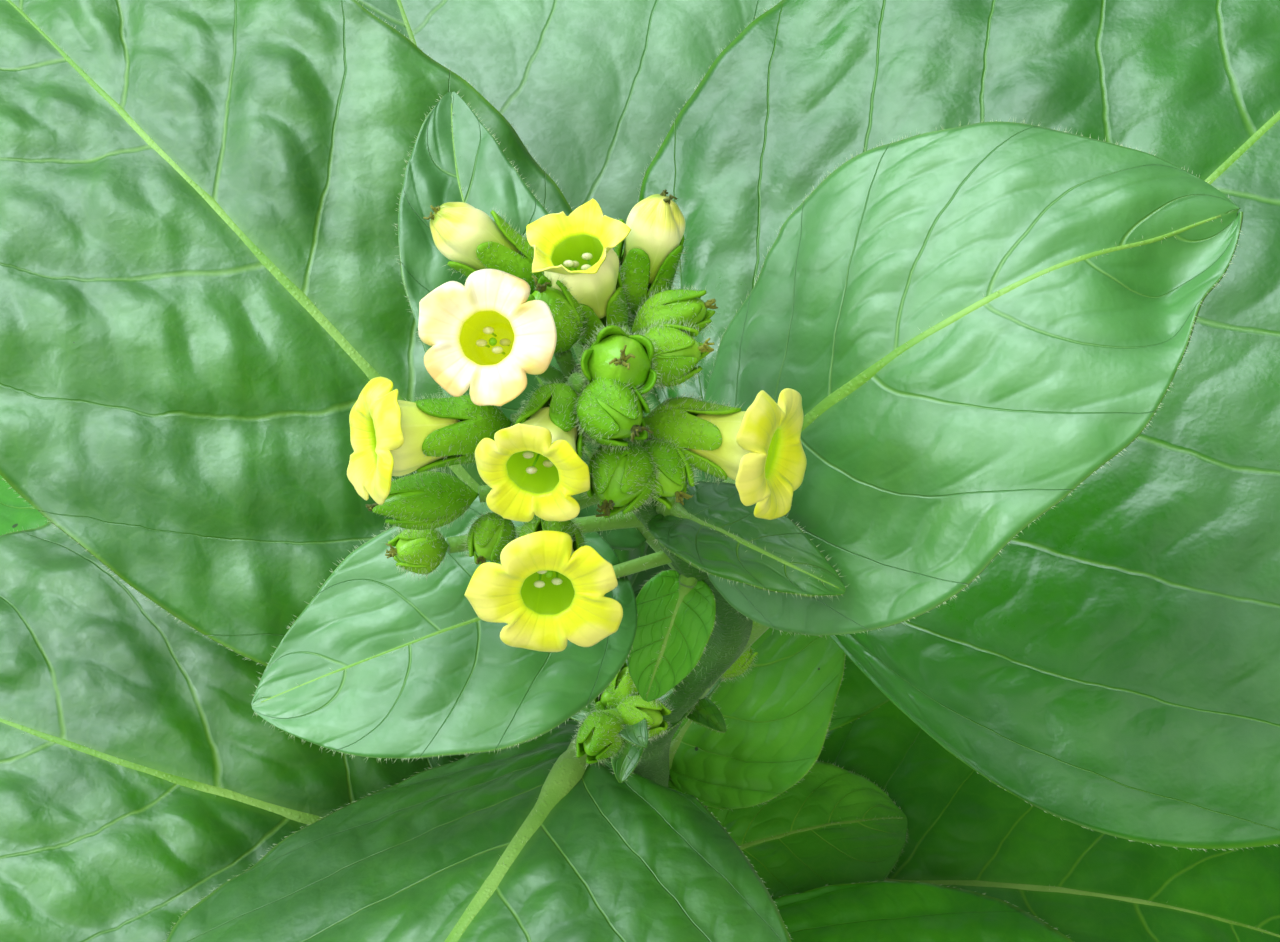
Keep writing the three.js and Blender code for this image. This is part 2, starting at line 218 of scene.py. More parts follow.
def wire(value, socket):
    if isinstance(value, bpy.types.NodeSocket):
        bench["tree"].links.new(value, socket)
    else:
        socket.default_value = value


def calc(operation, first, second=0.0, third=0.0):
    return put("ShaderNodeMath", {"operation": operation}, {0: first, 1: second, 2: third}).outputs[0]


def times(first, second):
    return calc("MULTIPLY", first, second)


def timesAdd(first, second, third):
    return calc("MULTIPLY_ADD", first, second, third)


def fade(value, low, high, start=0.0, end=1.0):
    values = {"Value": value, "From Min": low, "From Max": high, "To Min": start, "To Max": end}
    return put("ShaderNodeMapRange", {"interpolation_type": "SMOOTHSTEP"}, values).outputs[0]


# 1 on a line, falling to 0 where the distance from it reaches its width
def lineMask(distance, width, core=0.0):
    return calc("SUBTRACT", 1.0, fade(distance, core, width))


def mixColour(share, first, second):
    return put("ShaderNodeMix", {"data_type": "RGBA"}, {0: share, 6: first, 7: second}).outputs[2]


# Lays colours over one another, each by its own mask
def layered(skin, layers):
    for share, paint in layers:
        skin = mixColour(share, skin, paint)
    return skin


def noise(place, pattern, detail, rough=0.55, wanted=0):
    values = {"Vector": place, "Scale": patternScale[pattern], "Detail": detail, "Roughness": rough}
    return put("ShaderNodeTexNoise", {}, values).outputs[wanted]


def cells(place, pattern, feature="F1"):
    values = {"Vector": place, "Scale": patternScale[pattern]}
    return put("ShaderNodeTexVoronoi", {"feature": feature}, values).outputs


def mapPlace(name):
    return put("ShaderNodeSeparateXYZ", {}, {0: put("ShaderNodeUVMap", {"uv_map": name}).outputs[0]}).outputs


# A group with inputs for colours and numbers. It gives a colour, a roughness and the height of a relief
def newGroup(name, colours, numbers, moreColours=()):
    tree = bench["tree"] = bpy.data.node_groups.new(name, "ShaderNodeTree")
    colourKind, numberKind = "NodeSocketColor", "NodeSocketFloat"
    sockets = (
        ("INPUT", colourKind, colours), ("INPUT", numberKind, numbers), ("OUTPUT", colourKind, ("Colour",)),
        ("OUTPUT", numberKind, ("Roughness", "Height")), ("OUTPUT", colourKind, moreColours),
    )
    for way, kind, titles in sockets:
        for title in titles:
            tree.interface.new_socket(title, in_out=way, socket_type=kind)
    return tree, tree.nodes.new("NodeGroupInput").outputs, tree.nodes.new("NodeGroupOutput").inputs


def colour(red, green, blue):
    def linear(value):
        value = value / 255
        return value / 12.92 if value <= 0.04045 else ((value + 0.055) / 1.055) ** 2.4

    return (linear(red), linear(green), linear(blue), 1)


# A material whose colour, roughness and relief come from one of the groups. A value of its look goes
# to the group's input of that name, or else to the shader's own
def skinMaterial(name, group, look):
    material = bpy.data.materials.new(name)
    material.use_nodes = True
    bench["tree"] = material.node_tree
    shader = material.node_tree.nodes["Principled BSDF"]
    skin = put("ShaderNodeGroup", {"node_tree": group})
    height = {"Height": skin.outputs["Height"], "Distance": look["relief"] * mm}
    wire(put("ShaderNodeBump", {}, height).outputs[0], shader.inputs["Normal"])
    wire(skin.outputs["Colour"], shader.inputs["Base Color"])
    wire(skin.outputs["Roughness"], shader.inputs["Roughness"])
    # painted glow: emission that stands in for light shining through the petals
    if "Glow" in skin.outputs:
        wire(skin.outputs["Glow"], shader.inputs["Emission Color"])
        material.cycles.emission_sampling = "NONE"  # a weak glow needs no light of its own
    for key, value in look.items():
        if key != "relief":
            taker = skin if key in skin.inputs else shader
            taker.inputs[key].default_value = colour(*value) if np.size(value) == 3 else value
    return material


# How fine each pattern of the skins is: a larger number is a finer pattern
patternScale = {
    "wander": 90, "bend": 160, "net": 210, "fineNet": 620, "leafPatches": 34, "leafGrain": 420, "specks": 95,
    "stalkPatches": 60, "stalkGrain": 900, "dots": 1100, "petalPatches": 170, "petalGrain": 1400,
    "floor": 3,
}


# Leaf skin: side veins and middle rib from the leaf's own maps, a fine net of small veins,
# soft patches of colour, a few dark specks, and painted shade: darker green beside the side veins
# and along the creases, where these furrows lie in shade
def buildLeafSkin():
    numbers = ("Vein Width", "Vein Relief", "Vein Reach", "Net Strength", "Gloss Roughness")
    tree, given, result = newGroup("leafSkin", ("Blade", "Deep", "Vein"), numbers)
    blade, deepAndFurrowShade, veinPale, netStrength = (given[name] for name in ("Blade", "Deep", "Vein", "Net Strength"))
    body = put("ShaderNodeTexCoord").outputs["Object"]
    place, veins, creases = mapPlace("leafPlace"), mapPlace("leafVeins"), mapPlace("leafCreases")
    outward = calc("ABSOLUTE", timesAdd(place[0], 2.0, -1.0))
    wander = timesAdd(noise(body, "wander", 2), 0.14, -0.07)
    fromVein = calc("PINGPONG", calc("ADD", veins[1], wander), 0.5)
    sideVein = lineMask(fromVein, times(given["Vein Width"], calc("SUBTRACT", 1.2, outward)))
    nearRib = lineMask(calc("ABSOLUTE", timesAdd(veins[0], 6.0, -3.0)), 1.8, 0.7)
    fromCrease = calc("PINGPONG", calc("ADD", creases[0], wander), 0.5)
    crease = times(lineMask(fromCrease, 0.16), fade(fromVein, 0.02, 0.12))

    shift = noise(body, "bend", 2, 0.5, "Color")
    bent = put("ShaderNodeVectorMath", {"operation": "MULTIPLY_ADD"}, {0: shift, 1: (0.004,) * 3, 2: body}).outputs[0]
    net, fineNet = (cells(bent, pattern, "DISTANCE_TO_EDGE")[0] for pattern in ("net", "fineNet"))
    netLines = timesAdd(lineMask(fineNet, 0.14), 0.35, lineMask(net, 0.09))

    patches = fade(noise(body, "leafPatches", 3), 0.36, 0.66)
    grain = fade(noise(body, "leafGrain", 2, 0.7), 0.3, 0.7)
    specks = cells(body, "specks")
    rare = put("ShaderNodeSeparateColor", {}, {0: specks["Color"]}).outputs
    speck = calc("LESS_THAN", specks["Distance"], times(rare[1], 0.075))
    speck = times(speck, calc("GREATER_THAN", rare[0], 0.83))
    skin = layered(blade, (
        (patches, deepAndFurrowShade),
        (times(grain, 0.16), deepAndFurrowShade),
        # painted shade: darker green beside the side veins, standing in for the shade in their furrows
        (times(lineMask(fromVein, 0.22), 0.5), deepAndFurrowShade),
        (times(times(netStrength, netLines), 0.1), veinPale),
        # painted shade: darker green along the creases
        (times(crease, 0.16), deepAndFurrowShade),
        (times(nearRib, 0.16), veinPale),
        (times(sideVein, fade(outward, 0.1, 0.85, 0.46, given["Vein Reach"])), veinPale),
        (fade(outward, 0.985, 1.0, 0.0, 0.45), veinPale),  # thin pale margin
        (times(speck, 0.85), colour(38, 52, 22)),
    ))
    wire(skin, result["Colour"])

    rough = calc("ADD", timesAdd(grain, 0.1, given["Gloss Roughness"]), times(sideVein, 0.12))
    wire(timesAdd(patches, 0.06, rough), result["Roughness"])
    height = times(timesAdd(crease, 0.6, sideVein), given["Vein Relief"])
    height = timesAdd(fade(net, 0.0, 0.4), times(netStrength, 0.3), height)
    wire(timesAdd(grain, 0.07, height), result["Height"])
    return tree


# Stalk skin: patches of a paler green and small raised dots
def buildStalkSkin():
    tree, given, result = newGroup("stalkSkin", ("Skin", "Streak"), ("Gloss Roughness", "Dots"))
    body = put("ShaderNodeTexCoord").outputs["Object"]
    grain = noise(body, "stalkGrain", 3, 0.65)
    dots = lineMask(cells(body, "dots")[0], 0.45, 0.1)
    patches = times(fade(noise(body, "stalkPatches", 3), 0.35, 0.65), 0.7)
    skin = layered(given["Skin"], ((patches, given["Streak"]), (times(dots, given["Dots"]), given["Streak"])))
    wire(skin, result["Colour"])
    wire(timesAdd(grain, 0.16, given["Gloss Roughness"]), result["Roughness"])
    wire(timesAdd(dots, 0.5, grain), result["Height"])
    return tree


# Petal skin: colour runs from the foot of the tube to the edge of the lobes, with fine veins, and a painted glow:
# emission, strongest in the tube and throat, that stands in for light shining through the thin petals and lightens the
# shaded throat
def buildPetalSkin():
    colours, numbers = ("Foot", "Throat", "Lobe", "Edge"), ("Gloss Roughness", "Painted Light Through")
    tree, given, result = newGroup("petalSkin", colours, numbers, ("Glow",))
    body, place = put("ShaderNodeTexCoord").outputs["Object"], mapPlace("petalPlace")
    around, outward, throat = place[0], place[1], given["Throat"]
    patches = fade(noise(body, "petalPatches", 2), 0.4, 0.6)
    vein = times(lineMask(calc("PINGPONG", times(around, 25.0), 0.5), 0.2), fade(outward, 0.5, 0.62))
    fifth = calc("PINGPONG", times(around, 5.0), 0.5)
    middle = times(lineMask(fifth, 0.04), fade(outward, 0.95, 0.7))
    skin = layered(given["Foot"], (
        (fade(outward, 0.24, 0.56), throat),
        (fade(outward, 0.57, 0.68), given["Lobe"]),
        (times(patches, fade(outward, 0.66, 0.9)), given["Edge"]),
        (times(times(fade(fifth, 0.4, 0.5), 0.32), fade(outward, 0.55, 0.75)), throat),  # fold between two lobes
        (times(vein, 0.05), throat),
        (times(middle, 0.14), throat),
    ))
    wire(skin, result["Colour"])
    # painted glow: the skin's colour given out as emission, strong in the tube and throat and faint on the lobes
    paintedGlowShare = times(given["Painted Light Through"], fade(outward, 0.56, 0.72, 1.0, 0.12))
    wire(mixColour(paintedGlowShare, (0, 0, 0, 1), skin), result["Glow"])
    wire(timesAdd(patches, 0.1, given["Gloss Roughness"]), result["Roughness"])
    wire(calc("ADD", times(vein, -0.2), times(noise(body, "petalGrain", 2), 0.3)), result["Height"])
    return tree


leafSkin, stalkSkin, petalSkin = buildLeafSkin(), buildStalkSkin(), buildPetalSkin()

# What a tone doesn't name comes from the plain tone
plainTone = {
    "Vein Width": 0.032, "Vein Reach": 0.1, "Net Strength": 0.45, "Gloss Roughness": 0.4,
    "Sheen Weight": 0.0, "Specular IOR Level": 0.6, "IOR": 1.5,
}
# The deep colour paints the darker patches of the blade and also the painted shade beside the veins and in the creases
leafTones = {
    # fresh: the lighter green of young leaves, made lighter still as painted light that makes up for the shade the
    # leaves above cast on these small leaves
    "fresh": {"Blade": (92, 174, 36), "Deep": (66, 148, 20), "Vein": (136, 192, 56), "Gloss Roughness": 0.42},
    # crown: its colours carry more blue than the other tones; this blue is painted sheen, standing in for the bluish
    # reflection of the sky on these leaves
    "crown": {
        "Blade": (72, 140, 54), "Deep": (52, 119, 36), "Vein": (118, 172, 60), "Vein Width": 0.03, "Vein Reach": 0.0,
        "Net Strength": 0.25, "Gloss Roughness": 0.37, "Sheen Weight": 0.04, "Specular IOR Level": 1.0, "IOR": 1.6,
    },
    "broad": {
        "Blade": (58, 128, 16), "Deep": (38, 104, 6), "Vein": (118, 170, 36), "Vein Width": 0.03, "Vein Reach": 0.08,
        "Gloss Roughness": 0.35, "Sheen Weight": 0.02, "Specular IOR Level": 1.0, "IOR": 1.56,
    },
    "glossy": {
        "Blade": (44, 120, 8), "Deep": (28, 98, 2), "Vein": (104, 164, 34), "Vein Width": 0.034, "Vein Reach": 0.4,
        "Net Strength": 0.25, "Gloss Roughness": 0.27, "Specular IOR Level": 0.9, "IOR": 1.52,
    },
    "low": {"Blade": (62, 146, 14), "Deep": (40, 118, 4), "Vein": (112, 172, 36)},
}
topLook = {"relief": 0.4, "Vein Relief": -0.25, "Sheen Roughness": 0.45, "Sheen Tint": (0.8, 0.94, 1.0, 1)}
underLook = {
    "relief": 0.5, "Vein Relief": 0.8, "Gloss Roughness": 0.6,
    "Sheen Weight": 0.2, "Sheen Roughness": 0.5, "Specular IOR Level": 0.35,
}
underPale, underPaleShare = (150, 190, 120), 0.35


def leafMaterials(name, tone):
    under = {**tone, **underLook}
    del under["IOR"]
    for key in ("Blade", "Deep", "Vein"):
        pairs = zip(colour(*under[key]), colour(*underPale))
        under[key] = tuple((1 - underPaleShare) * own + underPaleShare * pale for own, pale in pairs)
    top = skinMaterial(f"{name}LeafTop", leafSkin, {**topLook, **tone})
    return top, skinMaterial(f"{name}LeafUnder", leafSkin, under)


leafMaterial = {name: leafMaterials(name, {**plainTone, **tone}) for name, tone in leafTones.items()}

stalkLook = {"Gloss Roughness": 0.45, "Dots": 0.3, "relief": 0.1, "Sheen Roughness": 0.5}
stalkLooks = {
    "stalkGreen": {"Skin": (84, 146, 30), "Streak": (132, 182, 70), "Dots": 0.25, "relief": 0.12, "Sheen Weight": 0.2},
    "ribGreen": {
        "Skin": (104, 160, 44), "Streak": (150, 194, 92), "Gloss Roughness": 0.36, "Dots": 0.2, "Sheen Weight": 0.15,
    },
    "stemGreen": {
        "Skin": (46, 104, 12), "Streak": (78, 134, 34), "Gloss Roughness": 0.5, "Dots": 0.28, "relief": 0.2,
        "Sheen Weight": 0.1,
    },
    "calyxGreen": {
        "Skin": (92, 158, 12), "Streak": (142, 198, 40), "Dots": 0.08, "relief": 0.12, "Specular IOR Level": 0.25,
    },
    "podGreen": {
        "Skin": (112, 180, 24), "Streak": (160, 212, 60), "Gloss Roughness": 0.24, "Dots": 0.05, "relief": 0.06,
        "Coat Weight": 0.22, "Coat Roughness": 0.2, "Specular IOR Level": 0.35,
    },
    "antherPale": {
        "Skin": (186, 180, 90), "Streak": (240, 240, 214), "Gloss Roughness": 0.25, "Dots": 0.5, "relief": 0.05,
        "Coat Weight": 0.6, "Coat Roughness": 0.12,
    },
    "witheredBrown": {
        "Skin": (74, 84, 16), "Streak": (156, 164, 52), "Gloss Roughness": 0.7, "Dots": 0.4, "Sheen Weight": 0.1,
    },
    "hairWhite": {
        "Skin": (186, 214, 150), "Streak": (222, 236, 196), "Gloss Roughness": 0.4, "relief": 0.02, "Sheen Weight": 0.3,
    },
    "hairGreen": {
        "Skin": (110, 160, 80), "Streak": (160, 196, 130), "Gloss Roughness": 0.4, "relief": 0.02, "Sheen Weight": 0.2,
    },
}
# the petals glow with painted light: emission that stands in for light shining through them
petalLook = {"relief": 0.15, "Emission Strength": 1.0, "Gloss Roughness": 0.45, "Sheen Weight": 0.15}
petalLooks = {
    "yellowLobe": {
        "Foot": (126, 170, 6), "Throat": (168, 204, 18), "Lobe": (226, 232, 30), "Edge": (246, 242, 112),
        "Painted Light Through": 0.42,
    },
    "yellowBack": {
        "Foot": (212, 224, 84), "Throat": (250, 248, 176), "Lobe": (236, 240, 60), "Edge": (246, 244, 110),
        "Painted Light Through": 0.06,
    },
    "creamLobe": {
        "Foot": (190, 200, 8), "Throat": (216, 220, 26), "Lobe": (248, 238, 196), "Edge": (242, 208, 124),
        "Painted Light Through": 0.42, "Sheen Weight": 0.1,
    },
    "creamBack": {
        "Foot": (176, 204, 44), "Throat": (242, 240, 150), "Lobe": (250, 244, 190), "Edge": (248, 232, 150),
        "Painted Light Through": 0.06,
    },
    "budYellow": {
        "Foot": (170, 202, 52), "Throat": (250, 247, 170), "Lobe": (240, 240, 110), "Edge": (150, 178, 30),
        "Painted Light Through": 0.05, "Gloss Roughness": 0.36,
    },
}
skins = {}
for group, plain, looks in ((stalkSkin, stalkLook, stalkLooks), (petalSkin, petalLook, petalLooks)):
    skins.update({name: skinMaterial(name, group, {**plain, **look}) for name, look in looks.items()})
print("materials made")

stemSizes = {
    "top": 280, "footRadius": 6.2, "topRadius": 2.3, "flare": 3.2, "flareHeight": 12,
    "sides": 40, "rings": 150, "ridge": 0.035, "hairs": 4200,
    "bow": 13, "bowHeight": 214, "bowSpan": 32, "leanFrom": 228, "leanSpan": 54, "lean": (-7, 5),
}


def stemAxis(z):
    z = np.asarray(z, float)
    bow = stemSizes["bow"] * bell((z - stemSizes["bowHeight"]) / stemSizes["bowSpan"])
    lean = np.clip((z - stemSizes["leanFrom"]) / stemSizes["leanSpan"], 0, 1)
    return np.stack([bow + stemSizes["lean"][0] * lean**2, stemSizes["lean"][1] * lean**2, z], -1)


def stemRadius(z):
    taper = stemSizes["footRadius"] + (stemSizes["topRadius"] - stemSizes["footRadius"]) * (z / stemSizes["top"]) ** 1.2
    return taper + stemSizes["flare"] * np.exp(-z / stemSizes["flareHeight"])


# Each leaf: the height where it leaves the stem, its lengths and its angles in degrees. What a leaf
# doesn't name comes from the plain leaf
plainLeaf = {
    "bend": 1, "sweep": 0, "bow": 0, "roll": 0, "fold": 6, "left": 1, "right": 1, "lobe": 0.06, "fore": 0.5,
    "aft": 0.85, "curl": 0.1, "wave": 0, "puff": 1, "slim": 1, "rib": 0.7, "tone": "low", "veins": 7, "cell": 1.5,
    "dents": (), "edge": (),
}
leaves = {
    "leaf_crown_right": {
        "z": 240, "stalk": 11, "length": 81, "width": 55, "rise": 66, "droop": -12, "bend": 1.15,
        "turn": 27, "sweep": -9, "bow": -8, "roll": -4, "fold": 2, "left": 0.97, "right": 1.06,
        "lobe": 0.12, "fore": 0.8, "foreRight": 0.45, "aft": 0.78, "tone": "crown", "veins": 6,
        "cell": 0.75, "rib": 1.15, "puff": 0.5, "dents": ((0.86, -0.45, 11, 0.1, 0.45), (0.3, -0.75, 4, 0.1, 0.3)),
        "edge": (
            (0.27, 1, -0.06, 0.06), (0.52, 1, 0.03, 0.1), (0.86, 1, -0.1, 0.06),
            (0.88, -1, -0.16, 0.05), (0.72, -1, 0.05, 0.07),
        ),
    },
    "leaf_crown_left": {
        "z": 238, "stalk": 14, "length": 51, "width": 28, "rise": 24, "droop": -27, "turn": 207, "sweep": -13,
        "fold": 4, "left": 1.28, "right": 1.15, "curl": 0, "tone": "crown", "veins": 5, "cell": 0.7,
        "puff": 0.6, "slim": 0.55,
    },
    "leaf_crown_back": {
        "z": 218, "stalk": 22, "length": 69, "width": 25, "rise": 51, "droop": -7, "turn": 157,
        "sweep": -67, "fold": 14, "curl": 0, "tone": "crown", "veins": 6, "cell": 0.7,
    },
    "leaf_crown_small": {
        "z": 252, "stalk": 5, "length": 28, "width": 11, "rise": 54, "droop": -18, "turn": -51,
        "sweep": 30, "curl": 0, "tone": "broad", "veins": 5, "cell": 0.5,
    },
    "leaf_crown_front": {
        "z": 236, "stalk": 4, "length": 18, "width": 10, "rise": 0, "droop": -52, "turn": -112,
        "fold": 8, "curl": 0, "tone": "fresh", "veins": 5, "cell": 0.5,
    },
    "leaf_high_front": {
        "z": 126, "stalk": 10, "length": 52, "width": 42, "rise": 56, "droop": 20, "turn": 48,
        "fold": 4, "curl": 0, "tone": "fresh", "veins": 5, "cell": 0.7,
    },
    "leaf_back_left": {
        "z": 174, "stalk": 28, "length": 176, "width": 101, "rise": 51, "droop": -25, "bend": 0.7,
        "turn": 138, "sweep": -10, "right": 0.84, "wave": 2, "tone": "broad", "cell": 1.1, "rib": 0.95,
    },
    "leaf_right": {
        "z": 188, "stalk": 26, "length": 215, "width": 160, "rise": 32, "droop": -24, "turn": 37,
        "sweep": 13, "roll": -4, "fold": 4, "left": 0.91, "right": 1.08, "lobe": 0.02, "fore": 0.36,
        "aft": 0.92, "wave": 2, "tone": "glossy", "veins": 8, "cell": 1.35, "puff": 0.6, "puffRight": 0.3,
    },
    "leaf_back": {
        "z": 146, "stalk": 34, "length": 190, "width": 140, "rise": 44, "droop": -36, "turn": 110, "sweep": -4,
        "fold": 8, "right": 0.95, "wave": 2, "tone": "crown", "veins": 8, "cell": 1.4, "puff": 0.35,
    },
    "leaf_left": {
        "z": 108, "stalk": 36, "length": 140, "width": 112, "rise": 43, "droop": -30, "turn": 180, "sweep": -31,
        "bow": 67, "fold": 8, "wave": 2, "tone": "broad", "veins": 6, "cell": 1.15, "rib": 1.2,
    },
    "leaf_front": {
        "z": 153, "stalk": 14, "length": 115, "width": 118, "rise": 32, "droop": 0, "bend": 0.8,
        "turn": -116, "sweep": -8, "bow": -98, "roll": 20, "fold": -2, "right": 0.78, "fore": 0.75,
        "tone": "broad", "veins": 6, "cell": 1.0, "puff": 0.45, "rib": 1.5,
    },
    "leaf_low_right": {
        "z": 52, "stalk": 36, "length": 140, "width": 96, "rise": 20, "droop": -40, "turn": 7,
        "sweep": -22, "wave": 2,
    },
    "leaf_low_front": {
        "z": 84, "stalk": 24, "length": 120, "width": 98, "rise": 12, "droop": -38, "turn": -60,
        "sweep": -13, "left": 1.4, "cell": 1.3,
    },
    "leaf_low_small": {
        "z": 68, "stalk": 18, "length": 42, "width": 36, "rise": 40, "droop": -40, "turn": 18,
        "sweep": -5, "left": 0.75, "curl": 0, "tone": "fresh", "veins": 5, "cell": 1.0,
    },
    "leaf_low_left": {
        "z": 96, "stalk": 30, "length": 130, "width": 88, "rise": 30, "droop": -34, "turn": -146,
        "sweep": 8, "wave": 2,
    },
    "leaf_low_back": {
        "z": 92, "stalk": 34, "length": 150, "width": 100, "rise": 36, "droop": -34, "turn": 70,
        "sweep": 6, "wave": 2, "veins": 8,
    },
    "leaf_low_back_left": {
        "z": 72, "stalk": 32, "length": 140, "width": 92, "rise": 34, "droop": -34, "turn": 150, "sweep": -6,
    },
    "leaf_foot_front": {
        "z": 46, "stalk": 26, "length": 112, "width": 78, "rise": 28, "droop": -26, "turn": -96, "sweep": 6,
    },
    "leaf_foot_right": {
        "z": 28, "stalk": 28, "length": 118, "width": 80, "rise": 24, "droop": -30, "turn": 34, "sweep": 6,
    },
    "leaf_foot_back": {
        "z": 30, "stalk": 26, "length": 110, "width": 76, "rise": 28, "droop": -22, "turn": 108, "sweep": -6,
    },
    "leaf_foot_left": {
        "z": 40, "stalk": 26, "length": 116, "width": 78, "rise": 26, "droop": -24, "turn": -168, "sweep": -4,
    },
}
leaves = {node: {**plainLeaf, **leaf} for node, leaf in leaves.items()}
leafBuild = {
    "thickness": 0.45, "veinLean": 0.45, "swell": 0.08, "quilt": 0.05, "crumple": 0.16, "wobble": 0.022,
    "creaseShare": 0.34, "ruffle": 0.9, "ruffleStep": 26, "furrow": 0.5, "furrowWidth": 2.6, "waves": 2,
    "ribSides": 14, "hairSpacing": 0.5, "hairLength": 0.85, "hairTilt": 0.28,
}

# Low waves of a few millimetres that crumple the blades: steps across and along, strength, shift
crumpleSizes, crumpleDraw = (5, 6.5, 8, 10, 13, 17, 7), np.random.RandomState(5)
crumpleWays, crumpleShifts = crumpleDraw.uniform(0, np.pi, 7), crumpleDraw.uniform(0, 6.3, 7)
crumples = [
    (2 * np.pi / size * math.cos(way), 2 * np.pi / size * math.sin(way), (size / 12) ** 0.7, shift)
    for size, way, shift in zip(crumpleSizes, crumpleWays, crumpleShifts)
]

# Roots and tips of the fine hairs, gathered while the pieces are made
hairs = {"leaf": [], "stem": [], "head": []}
hairRadius = {"leaf": 0.034, "stem": 0.04, "head": 0.028}
hairDraw = np.random.RandomState(11)


def addHairs(group, roots, directions, lengths):
    directions = unit(directions + hairDraw.normal(0, leafBuild["hairTilt"], directions.shape))
    hairs[group].append((roots, roots + directions * np.asarray(lengths)[:, None]))


# Hairs that stand out all round a limb
def tubeHairs(group, path, radii, count, lengths, side=(1, 0.2, 0.1)):
    alongs, acrosses, overs = framesAlong(path, side)
    at = hairDraw.uniform(0, len(path) - 1.001, count)
    i, f = at.astype(int), (at % 1)[:, None]
    angle = hairDraw.uniform(0, 2 * np.pi, count)[:, None]
    out = acrosses[i] * np.cos(angle) + overs[i] * np.sin(angle)
    radius = lerp(radii[i], radii[i + 1], f[:, 0])[:, None]
    addHairs(group, lerp(path[i], path[i + 1], f) + out * radius * 0.96, out, hairDraw.uniform(*lengths, count))


# Course of the middle rib: it rises from the stem, bends over and droops
def leafCourse(leaf):
    steps = 60
    s = np.linspace(0, 1, steps + 1)
    total = leaf["stalk"] + leaf["length"]
    pitch = np.radians(leaf["rise"] + (leaf["droop"] - leaf["rise"]) * s ** leaf["bend"])
    hook = np.clip(1 - s * total / leaf["stalk"], 0, 1)
    turn = np.radians(leaf["turn"] + leaf["sweep"] * s + leaf["bow"] * hook)
    along = np.stack([np.cos(pitch) * np.cos(turn), np.cos(pitch) * np.sin(turn), np.sin(pitch)], -1)
    left = np.stack([-np.sin(turn), np.cos(turn), 0 * turn], -1)
    moves = (along[1:] + along[:-1]) * total / steps / 2
    places = stemAxis(leaf["z"]) + np.vstack([np.zeros(3), np.cumsum(moves, 0)])
    return {"place": places, "left": left, "up": np.cross(along, left), "along": along}


def onCourse(course, share):
    at = np.clip(share, 0, 1) * (len(course["place"]) - 1)
    i = np.minimum(at.astype(int), len(course["place"]) - 2)
    f = (at - i)[:, None]
    found = {key: lerp(course[key][i], course[key][i + 1], f) for key in course}
    return {key: found[key] if key == "place" else unit(found[key]) for key in found}


def stalkRadius(leaf):
    return (0.9 + (leaf["stalk"] + leaf["length"]) / 100) * leaf["slim"]


def ribRadius(leaf, t):
    wide = lerp(leaf["rib"], 1, np.exp(-t / 0.03))
    return stalkRadius(leaf) * wide * (0.9 * (1 - t) ** 1.25 + 0.1 * (1 - t)) + 0.2


def halfWidth(leaf, t, v):
    a = np.where(v < 0, leaf.get("foreRight", leaf["fore"]), leaf["fore"])
    b = leaf["aft"]
    peak = a / (a + b)
    return leaf["width"] / 2 * t**a * (1 - t) ** b / (peak**a * (1 - peak) ** b)


# Side veins as whole numbers of this phase: they leave the rib at uneven steps and arch to the tip
def veinPhase(leaf, t, v, side):
    lean = leafBuild["veinLean"] * leaf["width"] / leaf["length"]
    uneven = 0.14 * np.sin(9 * t + 2 * side + leaf["z"]) + 0.09 * np.sin(4.5 * np.abs(v) + side + leaf["z"])
    return leaf["veins"] * (t**0.88 - lean * np.abs(v) ** 1.22) + np.where(side < 0, 0.45, 0.1) + uneven


# Small creases that cross from one side vein to the next, shifted from cell to cell
def creasePhase(leaf, q, phase, cell, side):
    shift = np.modf(np.abs(np.sin(12.9898 * cell + 78.233 * side + leaf["z"]) * 437.585))[0]
    spacing = leaf["length"] / leaf["veins"] * leafBuild["creaseShare"] * (0.85 + 0.4 * shift)
    within = phase - cell
    return np.abs(q) / spacing + 7 * shift + 0.35 * within + 0.16 * np.sin(6 * within + 9 * shift)


# Swelling between the veins, quilting between the creases, a ruffled margin, the furrow over the rib
def bladeRelief(leaf, t, v, q, side, seed):
    phase = veinPhase(leaf, t, v, side)
    cell = np.floor(phase)
    cross = creasePhase(leaf, q, phase, cell, side)
    spacing = leaf["length"] / leaf["veins"]
    reach = np.clip(np.abs(q) / (0.3 * spacing), 0, 1) * np.clip((1 - t) * 7, 0, 1)
    between = np.sqrt(np.sin(np.pi * phase) ** 2 + 0.012)
    strength = 0.85 + 0.35 * np.sin(5 * np.abs(v) + 2.7 * cell + seed + side)
    relief = leafBuild["swell"] * spacing * (between**0.8 * strength - 0.5) * reach * (1.1 - 0.45 * v**2)
    quilt = (np.abs(np.sin(np.pi * cross)) ** 1.5 - 0.45) * between**0.8
    relief += leafBuild["quilt"] * spacing * quilt * reach * (0.8 + 0.4 * np.sin(3.1 * cell + side + seed))
    for across, along, height, shift in crumples:
        wave = np.sin(across * q + along * leaf["length"] * t + shift + side + seed)
        relief += leafBuild["crumple"] * reach * height * wave
    turns = leaf["length"] / leafBuild["ruffleStep"]
    ruffle = np.sin(2 * np.pi * turns * t + 1.7 * side + seed) + 0.5 * np.sin(2 * np.pi * 2.3 * turns * t + seed)
    relief += leafBuild["ruffle"] * min(1, leaf["width"] / 90) * ruffle * np.abs(v) ** 5 * np.sin(np.pi * t) ** 0.5
    for at, beside, depth, long, broad in leaf["dents"]:
        relief -= depth * np.exp(-(((t - at) / long) ** 2) - ((v - beside) / broad) ** 2)
    puff = np.where(side < 0, leaf.get("puffRight", leaf["puff"]), leaf["puff"])
    return puff * relief - leafBuild["furrow"] * bell(q / leafBuild["furrowWidth"]) * (1 - t)


